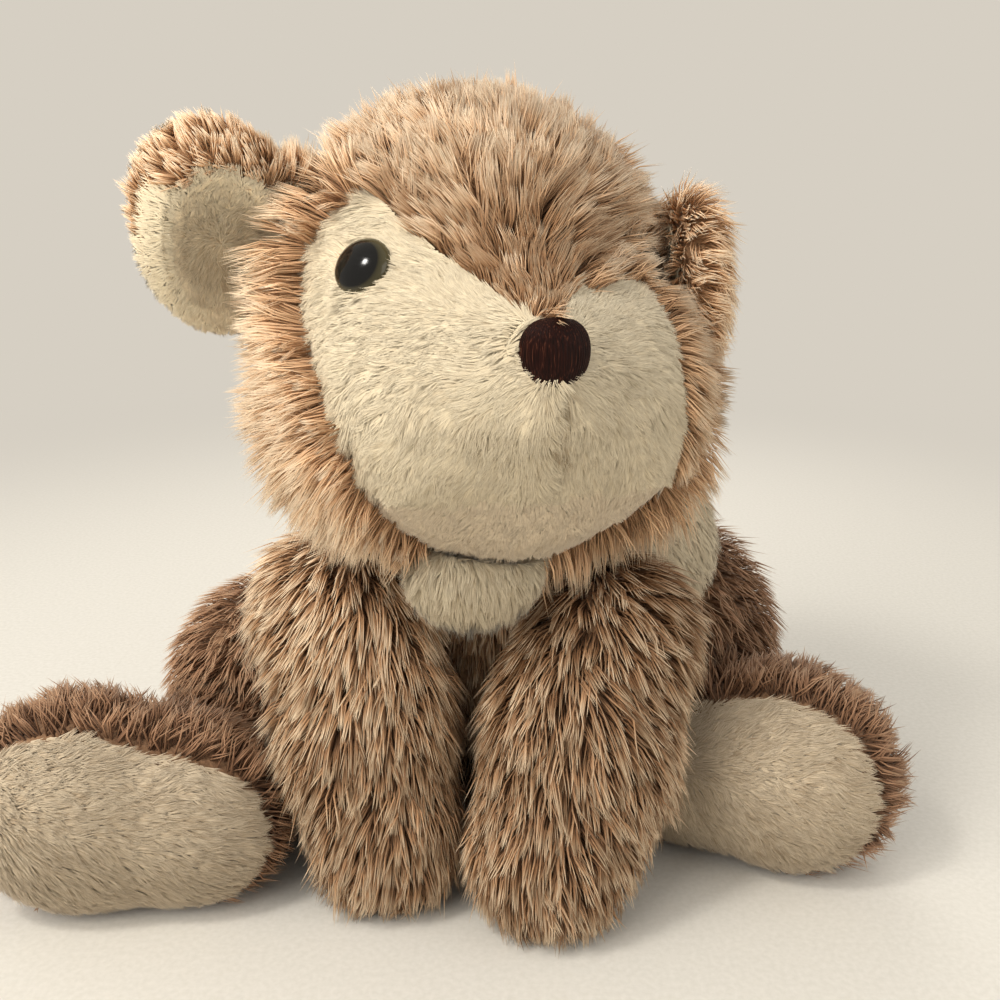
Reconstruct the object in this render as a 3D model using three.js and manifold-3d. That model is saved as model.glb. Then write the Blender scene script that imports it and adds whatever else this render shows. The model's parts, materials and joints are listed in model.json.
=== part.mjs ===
// Long-pile stuffed animal, sitting with its arms down and its soles forward, in millimetres.
// +Z is up, the face looks along -Y, and the animal's own left side is at +X.
// Every stuffed form is drawn at the middle of its pile, so the hair tips stand a little proud of it.
import * as THREE from 'three';
import { mergeVertices } from 'three/addons/utils/BufferGeometryUtils.js';
import Module from 'manifold-3d';

// Fits
const SEAM = 0.3; // clearance between pieces that touch
const SEAT = 0.8; // clearance between a stuffed ball and the cup that it turns in
const FLAT = 2; // depth of the flats under what rests on the floor
const PANEL = 3; // thickness of the short-pile panels

// Torso
const RUMP_WIDTH = 122;
const RUMP_DEPTH = 98;
const RUMP_HEIGHT = 104;
const RUMP_BACK = 43; // from the shoulder line back to the rump's middle
const CHEST_WIDTH = 152;
const CHEST_DEPTH = 90;
const CHEST_HEIGHT = 108;
const CHEST_MIDDLE = 106; // floor to the widest part of the chest
const CHEST_BACK = 33;
const TORSO_DROP = 22; // from the chest's widest part down to the torso's own middle
const CHEST_LEAN = 5; // the stuffing has settled this far to the left
const BELLY_BOTTOM = 34; // floor to the belly panel's lower edge
const BELLY_SIDE = 30; // from the shoulder line back to the belly panel's side seams

// Bean bag in the seat
const BAG_WIDTH = 58;
const BAG_DEPTH = 42;
const BAG_HEIGHT = 26;
const BAG_FLOOR = 5; // floor to the underside of the bag
const FLAP_EDGE = 5; // the seat flap's seam allowance round the bag's pocket
const FLAP = 2.5; // thickness of the seat flap

// Neck: the head is a ball that sits in a dished collar on the torso, and all three share one centre.
const NECK_SEAT = 60; // from the head's pivot to the head's own seat
const COLLAR = 5; // thickness of the stuffed collar
const COLLAR_SPREAD = 30; // degrees from the neck's axis to the collar's rim
const SEAT_SPREAD = 50; // degrees from the neck's axis to the edge of the head's seat
const NECK_TILT = 21; // degrees that the neck's axis leans back from the vertical
const HEAD_ROOM = 14; // extra room that the shoulders leave round the jowls
const HEAD_ROOM_SPREAD = 38; // degrees from the neck's axis out to where that room starts
const NECK_REACH = 200; // length of the cones that bound the collar and its seat

// Head
const HEAD_YAW = 16; // degrees, the head is turned to the animal's left
const HEAD_UP = 189; // floor to the head's middle
const HEAD_SIDE = -6;
const HEAD_FORWARD = 9;
const SKULL_WIDTH = 130;
const SKULL_DEPTH = 114;
const SKULL_HEIGHT = 142;
const SKULL_BACK = 12;
const JOWL_SPREAD = 64; // between the middles of the two jowls
const JOWL_WIDTH = 66;
const JOWL_DEPTH = 84;
const JOWL_HEIGHT = 70;
const JOWL_BACK = 2;
const JOWL_DROP = 24;
const CHEEK_SPREAD = 50; // between the middles of the two cheeks
const CHEEK_WIDTH = 68;
const CHEEK_DEPTH = 82;
const CHEEK_HEIGHT = 76;
const CHEEK_FORWARD = 28;
const CHEEK_DROP = 16;
const MUZZLE_WIDTH = 58;
const MUZZLE_DEPTH = 82;
const MUZZLE_HEIGHT = 60;
const MUZZLE_DROP = 8;
const MUZZLE_REACH = 79; // head's middle to the tip of the muzzle
const CHIN_WIDTH = 64;
const CHIN_DEPTH = 68;
const CHIN_HEIGHT = 50;
const CHIN_FORWARD = 28;
const CHIN_DROP = 63; // head's middle to the underside of the chin
const CHIN_LINE = -36; // the cheeks end and the chin's smooth panel starts this far below the middle

// Face
const EYE_WIDTH = 17.5;
const EYE_HEIGHT = 5.5;
const EYE_EDGE = 0.8; // height of the straight edge under the dome
const EYE_SIDE = 54.5; // degrees from straight ahead to each eye
const EYE_UP = 25; // degrees above the head's middle
const EYE_SPAN = 6; // degrees to each side over which the cheek's slope is taken
const EYE_SUNK = 0.6; // the cheek's pile is pressed down this far under the eye
const POST_WIDTH = 4;
const POST_LENGTH = 13;
const WASHER_WIDTH = 15;
const WASHER_THICKNESS = 2;
const NOSE_WIDTH = 19;
const NOSE_HEIGHT = 20;
const NOSE_PROUD = 4.5;
const NOSE_SUNK = 2; // the pad's middle lies this far under the pile
const NOSE_UP = 2.5; // degrees above the head's middle
const BIB_WIDTH = 44;
const BIB_DEPTH = 25;
const BIB_HEIGHT = 29;
const BIB_SIDE = -11;
const BIB_FORWARD = 33;
const BIB_DROP = 5; // from the underside of the chin to the bib's middle

// Ears
const EAR_LENGTH = 68;
const EAR_WIDTH = 50;
const EAR_THICKNESS = 20;
const EAR_RIM = 6; // width of the furry rim round the lining
const EAR_DROP = 4; // how far the lining sits below the middle, under the rolled upper rim
const EAR_ROOT = 16; // width of the sewn root
const EAR_ROOT_HEIGHT = 30;

// Arms
const SHOULDER_WIDTH = 56;
const ARM_WIDTH = 60;
const ARM_SWELL = 1.45; // the upper arm's length against its width
const ARM_SWELL_AT = 0.52; // share of the way from the shoulder to the paw
const PAW_WIDTH = 50;
const PAW_FLOOR = 29; // floor to the middle of each paw

// Legs
const HAUNCH_WIDTH = 90;
const FOOT_LENGTH = 110;
const TOE_SHARE = 0.72; // the toe's length against the foot's
const FOOT_HEIGHT = 76;
const FOOT_DEPTH = 62;
const HEEL_SHARE = 0.88; // the heel's size against the toe's
const ANKLE_WIDTH = 58;
const ANKLE_BACK = 36; // from the foot's middle back to the ankle's middle
const ANKLE_ASIDE = 18; // from the foot's middle toward the heel
const SOLE_EDGE = 16; // how far in front of the foot's middle the sole's seam runs

// Tail
const TAIL_WIDTH = 32;
const TAIL_LENGTH = 42;
const TAIL_ROOT = 16; // width of the sewn root
const TAIL_UP = 50; // floor to the tail's root
const TAIL_SUNK = 3; // the root's middle lies this far inside the rump
const TAIL_SET = 0.4; // share of the tail's length from its root to its middle
const TAIL_SWING = [-15, 0, 8]; // degrees that the rump turns past the tail as the tail moves

const SIDES = { left: 1, right: -1 };

// How each limb lies: the toy is floppy, so its two sides differ.
const ARM_POSE = {
  left: { shoulder: [37, -14, 90], paw: [16, -43, PAW_FLOOR - FLAT], fullness: 1.04 },
  right: { shoulder: [-52, -13, 99], paw: [-37, -32, PAW_FLOOR - FLAT], fullness: 0.94 },
};
const LEG_POSE = {
  left: { hip: [65, 52], height: 112, foot: [88, -2], yaw: 26 },
  right: { hip: [-86, 50], height: 88, foot: [-125, -31], yaw: -3 },
};
const EAR_POSE = {
  left: { side: 104, up: 16, out: 24, away: 6, droop: 20, twist: -98, lean: 0, fold: [0] },
  right: { side: 99, up: 34, out: 24, away: 0, droop: -14, twist: 12, lean: 22, fold: [-15, 0, 15] },
};

const wasm = await Module();
wasm.setup();

// Solids

// Turns a closed three.js geometry into a solid.
function solid(geometry, matrix) {
  const bare = geometry.clone();
  bare.deleteAttribute('normal');
  bare.deleteAttribute('uv');
  const merged = mergeVertices(bare, 1e-4);
  if (matrix) {
    merged.applyMatrix4(matrix);
  }
  const mesh = new wasm.Mesh({
    numProp: 3,
    vertProperties: new Float32Array(merged.attributes.position.array),
    triVerts: new Uint32Array(merged.index.array),
  });
  return new wasm.Manifold(mesh);
}

// Turns a solid back into a three.js geometry.
function geometryOf(body) {
  const mesh = body.getMesh();
  const geometry = new THREE.BufferGeometry();
  geometry.setAttribute('position', new THREE.BufferAttribute(new Float32Array(mesh.vertProperties), 3));
  geometry.setIndex(new THREE.BufferAttribute(new Uint32Array(mesh.triVerts), 1));
  geometry.computeVertexNormals();
  return geometry;
}

// Position and turn of one group of pieces, with the angles in degrees.
function place(position, yaw = 0, pitch = 0, roll = 0) {
  const turn = new THREE.Euler(
    THREE.MathUtils.degToRad(pitch),
    THREE.MathUtils.degToRad(roll),
    THREE.MathUtils.degToRad(yaw),
    'ZXY',
  );
  const matrix = new THREE.Matrix4().makeRotationFromEuler(turn);
  return matrix.setPosition(...position);
}

// Unit vector that points side degrees off straight ahead and up degrees above the level.
function heading(side, up) {
  const a = THREE.MathUtils.degToRad(side);
  const b = THREE.MathUtils.degToRad(up);
  return new THREE.Vector3(Math.sin(a) * Math.cos(b), -Math.cos(a) * Math.cos(b), Math.sin(b));
}

// How far a stuffed form reaches from its middle along one direction. Each lobe is an ellipsoid, and
// neighbouring lobes run into each other as stuffing does.
function reach(form, direction) {
  const tightness = 9;
  const point = new THREE.Vector3();
  const inside = (distance) => {
    point.copy(form.middle).addScaledVector(direction, distance);
    let sum = 0;
    for (const { at, r } of form.lobes) {
      const x = (point.x - at[0]) / r[0];
      const y = (point.y - at[1]) / r[1];
      const z = (point.z - at[2]) / r[2];
      sum += Math.exp(tightness * (1 - Math.hypot(x, y, z)));
    }
    return sum >= 1;
  };
  const step = form.size / 80;
  let far = form.size;
  while (far > step && !inside(far - step)) {
    far -= step;
  }
  let near = far - step;
  for (let i = 0; i < 24; i += 1) {
    const half = (near + far) / 2;
    if (inside(half)) {
      near = half;
    } else {
      far = half;
    }
  }
  return near;
}

// A stuffed form: its middle, its lobes and the fineness of its facets.
function stuffed(middle, lobes, fineness) {
  let size = 0;
  for (const { at, r } of lobes) {
    const away = Math.hypot(at[0] - middle[0], at[1] - middle[1], at[2] - middle[2]);
    size = Math.max(size, 1.3 * (away + Math.max(...r)));
  }
  return { middle: new THREE.Vector3(...middle), lobes, size, fineness };
}

// The form's skin as a solid, moved in by inset.
function stuffing(form, inset = 0, matrix = undefined) {
  const geometry = new THREE.IcosahedronGeometry(1, form.fineness);
  const position = geometry.attributes.position;
  const direction = new THREE.Vector3();
  for (let i = 0; i < position.count; i += 1) {
    direction.fromBufferAttribute(position, i).normalize();
    const distance = reach(form, direction) - inset;
    direction.multiplyScalar(distance).add(form.middle);
    position.setXYZ(i, direction.x, direction.y, direction.z);
  }
  return solid(geometry, matrix);
}

// A stuffed ball with its three widths, or the cup that takes it.
function ball(centre, widths, grow = 0, fineness = 5) {
  const geometry = new THREE.IcosahedronGeometry(1, fineness);
  geometry.scale(...widths.map((width) => width / 2 + grow));
  return solid(geometry, place(centre));
}

// The three widths of a plain ball.
function equal(width) {
  return [width, width, width];
}

const FAR = 400; // past the end of anything here

// A box between two corners.
function block(low, high, matrix = new THREE.Matrix4()) {
  const size = high.map((value, i) => value - low[i]);
  const middle = high.map((value, i) => (value + low[i]) / 2);
  return solid(new THREE.BoxGeometry(...size), matrix.clone().multiply(place(middle)));
}

// Everything below a height.
function below(height) {
  return block([-FAR, -FAR, height - FAR], [FAR, FAR, height]);
}

// A turned solid whose profile gives [radius, height] pairs, with its axis along +Y.
function turned(profile, matrix, steps = 24) {
  const points = profile.map(([radius, height]) => new THREE.Vector2(radius, height));
  return solid(new THREE.LatheGeometry(points, steps), matrix);
}

// The turn that brings +Y onto a direction, set at a point.
function facing(point, direction) {
  const turn = new THREE.Quaternion().setFromUnitVectors(new THREE.Vector3(0, 1, 0), direction);
  return new THREE.Matrix4().makeRotationFromQuaternion(turn).setPosition(point);
}

// A closed smooth outline across X and Z, cut through the front half from -Y. An inset draws the
// outline in, and a negative one lets it out, by a seam's clearance.
function region(points, inset) {
  const curve = new THREE.CatmullRomCurve3(points.map(([x, z]) => new THREE.Vector3(x, z, 0)), true);
  const ring = curve.getSpacedPoints(2 * points.length).slice(0, -1);
  const drawn = ring.map((point, i) => {
    const before = ring[(i + ring.length - 1) % ring.length];
    const after = ring[(i + 1) % ring.length];
    const along = new THREE.Vector2(after.x - before.x, after.y - before.y).normalize();
    return new THREE.Vector2(point.x - along.y * inset, point.y + along.x * inset);
  });
  const geometry = new THREE.ExtrudeGeometry(new THREE.Shape(drawn), { depth: FAR, bevelEnabled: false });
  geometry.rotateX(Math.PI / 2);
  geometry.translate(0, -inset, 0);
  return solid(geometry);
}

// Both halves of an outline on the face, from the bottom up. Its points are shares of the skull's half
// width and half height.
function mirrored(shares) {
  const points = shares.map(([x, z]) => [(x * SKULL_WIDTH) / 2, (z * SKULL_HEIGHT) / 2]);
  const other = points.filter(([x]) => x > 0).map(([x, z]) => [-x, z]);
  return [...points, ...other.reverse()];
}

// Torso, legs and arms

const rump = {
  at: [0, RUMP_BACK, RUMP_HEIGHT / 2 - FLAT],
  r: [RUMP_WIDTH / 2, RUMP_DEPTH / 2, RUMP_HEIGHT / 2],
};
const chest = {
  at: [CHEST_LEAN, CHEST_BACK, CHEST_MIDDLE],
  r: [CHEST_WIDTH / 2, CHEST_DEPTH / 2, CHEST_HEIGHT / 2],
};
const torsoMiddle = [CHEST_LEAN / 2, (RUMP_BACK + CHEST_BACK) / 2, CHEST_MIDDLE - TORSO_DROP];
const torsoForm = stuffed(torsoMiddle, [rump, chest], 5);

function haunch(side, grow = 0) {
  const { hip, height } = LEG_POSE[side];
  const widths = [HAUNCH_WIDTH, HAUNCH_WIDTH, height];
  return ball([...hip, height / 2 - FLAT], widths, grow, 4).subtract(below(-grow));
}

// An arm's own frame starts at its shoulder. It swings on a line across the body.
function armForm(side) {
  const { shoulder, paw, fullness } = ARM_POSE[side];
  const to = paw.map((value, i) => value - shoulder[i]);
  const lobe = (share, width, height) => ({
    at: to.map((value) => value * share),
    r: [(fullness * width) / 2, (fullness * width) / 2, height / 2],
  });
  const lobes = [
    lobe(0, SHOULDER_WIDTH / fullness, SHOULDER_WIDTH),
    lobe(ARM_SWELL_AT, ARM_WIDTH, ARM_SWELL * ARM_WIDTH),
    lobe(1, PAW_WIDTH, 2 * PAW_FLOOR),
  ];
  return stuffed(to.map((value) => value * 0.5), lobes, 4);
}

function arm(side) {
  return stuffing(armForm(side)).subtract(below(-ARM_POSE[side].shoulder[2]));
}

// A body less another, which is taken away at each of several turns about an axis through the body's
// own origin.
function clearedOf(body, other, axis, angles) {
  const cuts = angles.map((angle) => {
    const turn = new THREE.Matrix4().makeRotationAxis(axis, THREE.MathUtils.degToRad(angle));
    return other.transform(turn.toArray());
  });
  return cuts.reduce((left, cut) => left.subtract(cut), body);
}

function footPlace(side) {
  const { foot, yaw } = LEG_POSE[side];
  return place([...foot, FOOT_HEIGHT / 2 - FLAT], -yaw);
}

function footForm(side) {
  const s = SIDES[side];
  const toeLength = TOE_SHARE * FOOT_LENGTH;
  const heelLength = toeLength * HEEL_SHARE;
  const lobes = [
    {
      at: [(s * (FOOT_LENGTH - toeLength)) / 2, 0, 0],
      r: [toeLength / 2, FOOT_DEPTH / 2, FOOT_HEIGHT / 2],
    },
    {
      at: [(-s * (FOOT_LENGTH - heelLength)) / 2, 0, ((HEEL_SHARE - 1) * FOOT_HEIGHT) / 2],
      r: [heelLength / 2, (FOOT_DEPTH * HEEL_SHARE) / 2, (FOOT_HEIGHT * HEEL_SHARE) / 2],
    },
    {
      at: [-s * ANKLE_ASIDE, ANKLE_BACK, (ANKLE_WIDTH - FOOT_HEIGHT) / 2],
      r: [ANKLE_WIDTH / 2, ANKLE_WIDTH / 2, ANKLE_WIDTH / 2],
    },
  ];
  return stuffed([0, 0, 0], lobes, 4);
}

// Neck and head

const headPlace = place([HEAD_SIDE, -HEAD_FORWARD, HEAD_UP], HEAD_YAW);
const pivot = new THREE.Vector3(0, SKULL_BACK, 0).applyMatrix4(headPlace);
const neckAxis = new THREE.Vector3(0, 0, -1).applyAxisAngle(
  new THREE.Vector3(1, 0, 0),
  THREE.MathUtils.degToRad(NECK_TILT),
);
const collarInside = NECK_SEAT + SEAT;
const collarOutside = collarInside + COLLAR;

// A ball round the head's pivot.
function aroundPivot(radius, fineness = 6) {
  return ball(pivot.toArray(), equal(2 * radius), 0, fineness);
}

// Everything within an angle of the neck's axis, as seen from the pivot.
function neckCone(spread) {
  const angle = THREE.MathUtils.degToRad(spread);
  const wide = NECK_REACH * Math.sin(angle);
  const long = NECK_REACH * Math.cos(angle);
  return turned([[0, 0], [wide, long], [0, long]], facing(pivot, neckAxis));
}

const jowlLobe = (s) => ({
  at: [(s * JOWL_SPREAD) / 2, JOWL_BACK, -JOWL_DROP],
  r: [JOWL_WIDTH / 2, JOWL_DEPTH / 2, JOWL_HEIGHT / 2],
});
const cheekLobe = (s) => ({
  at: [(s * CHEEK_SPREAD) / 2, -CHEEK_FORWARD, -CHEEK_DROP],
  r: [CHEEK_WIDTH / 2, CHEEK_DEPTH / 2, CHEEK_HEIGHT / 2],
});
const muzzleLobe = {
  at: [0, MUZZLE_DEPTH / 2 - MUZZLE_REACH, -MUZZLE_DROP],
  r: [MUZZLE_WIDTH / 2, MUZZLE_DEPTH / 2, MUZZLE_HEIGHT / 2],
};
const chinLobe = {
  at: [0, -CHIN_FORWARD, CHIN_HEIGHT / 2 - CHIN_DROP],
  r: [CHIN_WIDTH / 2, CHIN_DEPTH / 2, CHIN_HEIGHT / 2],
};
const skullLobe = { at: [0, SKULL_BACK, 0], r: [SKULL_WIDTH / 2, SKULL_DEPTH / 2, SKULL_HEIGHT / 2] };
const headForm = stuffed(
  [0, 0, 0],
  [skullLobe, jowlLobe(1), jowlLobe(-1), cheekLobe(1), cheekLobe(-1), muzzleLobe, chinLobe],
  5,
);

// The face's seams as seen from straight in front, X to the animal's left and Z up.
const browSeam = [[0.55, 0.61], [0.17, 0.28]];
const maskSeam = mirrored([
  [0, -0.86], [0.34, -0.8], [0.62, -0.59], [0.8, -0.25], [0.86, 0.08], [0.8, 0.42], ...browSeam, [0, 0.21],
]);
const gussetSeam = mirrored([[0, 0.13], browSeam[1], browSeam[0], [0.52, 0.87], [0, 1.04]]);

const faceShell = () => stuffing(headForm).subtract(stuffing(headForm, PANEL));

function facePanel(seam) {
  return faceShell().intersect(region(seam, SEAM / 2));
}

function cheek(side) {
  const s = SIDES[side];
  const middle = (s * (SEAM + FAR)) / 2;
  const halfWidth = (FAR - SEAM) / 2;
  const half = block([middle - halfWidth, -FAR, CHIN_LINE], [middle + halfWidth, FAR, FAR]);
  const panel = facePanel(maskSeam).intersect(half);
  return panel.subtract(region(gussetSeam, -SEAM / 2)).subtract(eyeHole(side));
}

function chinPanel() {
  return facePanel(maskSeam).intersect(below(CHIN_LINE - SEAM));
}

// The eye's own frame: its base is sunk a little into the cheek, and its axis stands square to it.
function eyePlace(side) {
  const onFace = (turn, lift) => {
    const direction = heading(SIDES[side] * (EYE_SIDE + turn), EYE_UP + lift);
    return direction.multiplyScalar(reach(headForm, direction));
  };
  const middle = onFace(0, 0);
  const across = onFace(EYE_SPAN, 0).sub(onFace(-EYE_SPAN, 0));
  const upward = onFace(0, EYE_SPAN).sub(onFace(0, -EYE_SPAN));
  const outward = across.cross(upward).multiplyScalar(SIDES[side]).normalize();
  return facing(middle.addScaledVector(outward, -EYE_SUNK), outward);
}

function drilled(side, width, depth) {
  const radius = width / 2 + SEAM;
  return turned([[0, -depth], [radius, -depth], [radius, depth], [0, depth]], eyePlace(side), 12);
}

function eyeHole(side) {
  const socket = turned(
    [[0, -SEAM], [EYE_WIDTH / 2 + SEAM, -SEAM], [EYE_WIDTH / 2 + SEAM, EYE_HEIGHT], [0, EYE_HEIGHT]],
    eyePlace(side),
    16,
  );
  return drilled(side, POST_WIDTH, POST_LENGTH + 1).add(socket);
}

const washerTop = -PANEL - 3 * SEAM;

function washerPocket(side) {
  return drilled(side, WASHER_WIDTH, WASHER_THICKNESS + SEAM - washerTop);
}

function eye(side) {
  const radius = EYE_WIDTH / 2;
  const post = POST_WIDTH / 2;
  const rings = 4;
  const profile = [[0, -POST_LENGTH], [post, -POST_LENGTH], [post, 0], [radius, 0]];
  for (let i = 0; i < rings; i += 1) {
    const angle = (Math.PI / 2) * (i / rings);
    profile.push([radius * Math.cos(angle), EYE_EDGE + (EYE_HEIGHT - EYE_EDGE) * Math.sin(angle)]);
  }
  profile.push([0, EYE_HEIGHT]);
  return turned(profile, eyePlace(side), 16);
}

function eyeWasher(side) {
  const inner = POST_WIDTH / 2 + SEAM;
  const outer = WASHER_WIDTH / 2;
  const low = washerTop - WASHER_THICKNESS;
  const profile = [[inner, low], [outer, low], [outer, washerTop], [inner, washerTop], [inner, low]];
  return turned(profile, eyePlace(side), 12);
}

function nose() {
  const direction = heading(0, NOSE_UP);
  const centre = direction.clone().multiplyScalar(reach(headForm, direction) - NOSE_SUNK);
  const widths = [NOSE_WIDTH, 2 * (NOSE_PROUD + NOSE_SUNK), NOSE_HEIGHT];
  return ball(centre.toArray(), widths, 0, 4).subtract(stuffing(headForm, -SEAM));
}

// The bib hangs from the crease under the chin.
function throatBib() {
  const bib = ball([BIB_SIDE, -BIB_FORWARD, -CHIN_DROP - BIB_DROP], [BIB_WIDTH, BIB_DEPTH, BIB_HEIGHT], 0, 3);
  return bib.subtract(stuffing(headForm, -SEAM));
}

// Ears

// An ear's own frame starts at its root: X runs out of the head, Z up along the ear, -Y out of the hollow.
function earPlace(side) {
  const { side: angle, up, droop, twist, lean } = EAR_POSE[side];
  const direction = heading(SIDES[side] * angle, up);
  const root = direction.multiplyScalar(reach(headForm, direction));
  return place(root.toArray(), twist, lean, droop);
}

function earForm(side, grow = 0, fineness = 3, rim = 0, depth = 0, drop = 0) {
  const { out, away } = EAR_POSE[side];
  const middle = [SIDES[side] * out, away + depth, -drop];
  return ball(middle, [EAR_WIDTH - 2 * rim, EAR_THICKNESS, EAR_LENGTH - 2 * rim], grow, fineness);
}

const earHollow = (side, grow) => earForm(side, grow, 2, EAR_RIM, -EAR_THICKNESS / 2, EAR_DROP);

// The sewn root is a stub that turns in a pocket of the head.
const earRoot = (grow, centre = [0, 0, 0]) => [centre, [EAR_ROOT, EAR_ROOT, EAR_ROOT_HEIGHT], grow, 2];

// The ear leaves room for the head as it folds.
function clearOfHead(side, body) {
  const head = stuffing(headForm, -SEAM, earPlace(side).invert());
  return clearedOf(body, head, new THREE.Vector3(0, 0, 1), EAR_POSE[side].fold);
}

function earShell(side) {
  return clearOfHead(side, earForm(side)).add(ball(...earRoot(0))).subtract(earHollow(side, 0));
}

function earLining(side) {
  const lining = earHollow(side, -SEAM).subtract(earHollow(side, -PANEL)).intersect(earForm(side));
  return clearOfHead(side, lining);
}

// Assembly

const FINISHES = {
  fawn: { color: 0xb4926f, roughness: 0.85 },
  cream: { color: 0xe4dac0, roughness: 0.95 },
  thread: { color: 0x2c130e, roughness: 0.5 },
  bead: { color: 0x0b0b0c, roughness: 0.08 },
  nylon: { color: 0xe8e6de, roughness: 0.5 },
  canvas: { color: 0xd9d2c2, roughness: 0.9 },
};

function piece(name, body, finish) {
  const material = new THREE.MeshStandardMaterial({ ...FINISHES[finish], metalness: 0 });
  const mesh = new THREE.Mesh(geometryOf(body), material);
  mesh.name = name;
  return mesh;
}

function group(matrix, ...children) {
  const made = new THREE.Group();
  matrix.decompose(made.position, made.quaternion, made.scale);
  made.add(...children);
  return made;
}

const toy = new THREE.Group();

function torso() {
  let body = stuffing(torsoForm).subtract(aroundPivot(collarOutside + SEAT));
  body = body.subtract(aroundPivot(collarOutside + HEAD_ROOM, 4).subtract(neckCone(HEAD_ROOM_SPREAD)));
  for (const side of Object.keys(SIDES)) {
    const { shoulder } = ARM_POSE[side];
    body = body.subtract(haunch(side, SEAT));
    body = body.subtract(ball(shoulder, equal(SHOULDER_WIDTH), SEAT, 4));
    body = body.subtract(stuffing(armForm(side), -SEAT, place(shoulder)));
  }
  return body.subtract(below(0));
}

const bellyFront = (gap) => block([-FAR, -FAR, BELLY_BOTTOM - gap], [FAR, BELLY_SIDE + gap, FAR]);
const bagMiddle = [0, RUMP_BACK, BAG_FLOOR + BAG_HEIGHT / 2];
const bag = (grow) => ball(bagMiddle, [BAG_WIDTH, BAG_DEPTH, BAG_HEIGHT], grow, 3);

// An upright oval column under the bag, up to the bag's middle.
function flapFoot(grow) {
  const top = BAG_FLOOR + BAG_HEIGHT / 2;
  const oval = new THREE.Matrix4().makeScale(BAG_WIDTH / 2 + grow, 1, BAG_DEPTH / 2 + grow);
  const upright = place([0, RUMP_BACK, 0], 0, 90).multiply(oval);
  return turned([[0, -FAR], [1, -FAR], [1, top], [0, top]], upright);
}

// The layer that a panel's recess takes out of the torso.
function recessLayer(depth) {
  return stuffing(torsoForm, -2 * PANEL).subtract(stuffing(torsoForm, depth + SEAM));
}

const wholeTorso = torso();
const bellyPanel = wholeTorso.subtract(stuffing(torsoForm, PANEL)).intersect(bellyFront(0));
const seatFlap = wholeTorso.subtract(stuffing(torsoForm, FLAP)).intersect(flapFoot(FLAP_EDGE));
const core = wholeTorso
  .subtract(recessLayer(PANEL).intersect(bellyFront(SEAM)))
  .subtract(recessLayer(FLAP).intersect(flapFoot(FLAP_EDGE + SEAM)))
  .subtract(flapFoot(SEAM).subtract(below(0)))
  .subtract(bag(SEAM));
const beanBag = bag(0).subtract(below(BAG_FLOOR));

const collarWall = aroundPivot(collarOutside).subtract(aroundPivot(collarInside));
const collar = collarWall.intersect(neckCone(COLLAR_SPREAD));

const tailRoot = [0, RUMP_BACK + RUMP_DEPTH / 2 - TAIL_SUNK, TAIL_UP];
const tailBlob = ball([0, TAIL_SET * TAIL_LENGTH, 0], [TAIL_WIDTH, TAIL_LENGTH, TAIL_WIDTH], 0, 2);
const rumpBehind = stuffing(torsoForm, -SEAM, place(tailRoot).invert());
const tail = clearedOf(tailBlob, rumpBehind, new THREE.Vector3(1, 0, 0), TAIL_SWING)
  .add(ball([0, 0, 0], equal(TAIL_ROOT), 0, 2));

toy.add(
  piece('torso', core.subtract(ball(tailRoot, equal(TAIL_ROOT), SEAT, 2)), 'fawn'),
  piece('belly_panel', bellyPanel, 'cream'),
  piece('seat_flap', seatFlap, 'fawn'),
  piece('bean_bag', beanBag, 'canvas'),
  piece('neck_collar', collar, 'fawn'),
  group(place(tailRoot), piece('tail', tail, 'fawn')),
);

const faceRecess = stuffing(headForm, -PANEL)
  .subtract(stuffing(headForm, PANEL + SEAM))
  .intersect(region(maskSeam, -SEAM).add(region(gussetSeam, -SEAM)));
const headBack = headPlace.clone().invert();
const aroundNeck = aroundPivot(2 * NECK_SEAT).subtract(aroundPivot(NECK_SEAT));
const neckSeat = aroundNeck.intersect(neckCone(SEAT_SPREAD)).transform(headBack.toArray());
let head = stuffing(headForm).subtract(faceRecess).subtract(neckSeat);
for (const side of Object.keys(SIDES)) {
  const earPocket = ball(...earRoot(SEAT)).transform(earPlace(side).toArray());
  head = head.subtract(eyeHole(side)).subtract(washerPocket(side)).subtract(earPocket);
}
const headGroup = group(
  headPlace,
  piece('head', head, 'fawn'),
  piece('chin_panel', chinPanel(), 'cream'),
  piece('forehead_gusset', facePanel(gussetSeam), 'fawn'),
  piece('nose', nose(), 'thread'),
  piece('throat_bib', throatBib(), 'cream'),
);
for (const side of Object.keys(SIDES)) {
  headGroup.add(
    piece(`cheek_${side}`, cheek(side), 'cream'),
    piece(`eye_${side}`, eye(side), 'bead'),
    piece(`eye_washer_${side}`, eyeWasher(side), 'nylon'),
    group(
      earPlace(side),
      piece(`ear_shell_${side}`, earShell(side), 'fawn'),
      piece(`ear_lining_${side}`, earLining(side), 'cream'),
    ),
  );
}
toy.add(headGroup);

for (const side of Object.keys(SIDES)) {
  toy.add(group(place(ARM_POSE[side].shoulder), piece(`arm_${side}`, arm(side), 'fawn')));

  const matrix = footPlace(side);
  const front = (gap) => block([-FAR, -FAR, -FAR], [FAR, gap - SOLE_EDGE, FAR], matrix);
  const stuffedFoot = stuffing(footForm(side), 0, matrix)
    .subtract(below(0))
    .subtract(haunch(side, SEAM))
    .subtract(stuffing(torsoForm, -SEAM));
  const sole = stuffedFoot.subtract(stuffing(footForm(side), PANEL, matrix)).intersect(front(0));
  const recess = stuffing(footForm(side), -PANEL, matrix)
    .subtract(stuffing(footForm(side), PANEL + SEAM, matrix))
    .intersect(front(SEAM));
  toy.add(
    piece(`haunch_${side}`, haunch(side), 'fawn'),
    piece(`foot_${side}`, stuffedFoot.subtract(recess), 'fawn'),
    piece(`sole_${side}`, sole, 'cream'),
  );
}

// The origin is on the floor under the middle of the toy's outer box.
const box = new THREE.Box3().setFromObject(toy, true);
toy.position.set(-(box.min.x + box.max.x) / 2, -(box.min.y + box.max.y) / 2, 0);

export default toy;
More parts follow.
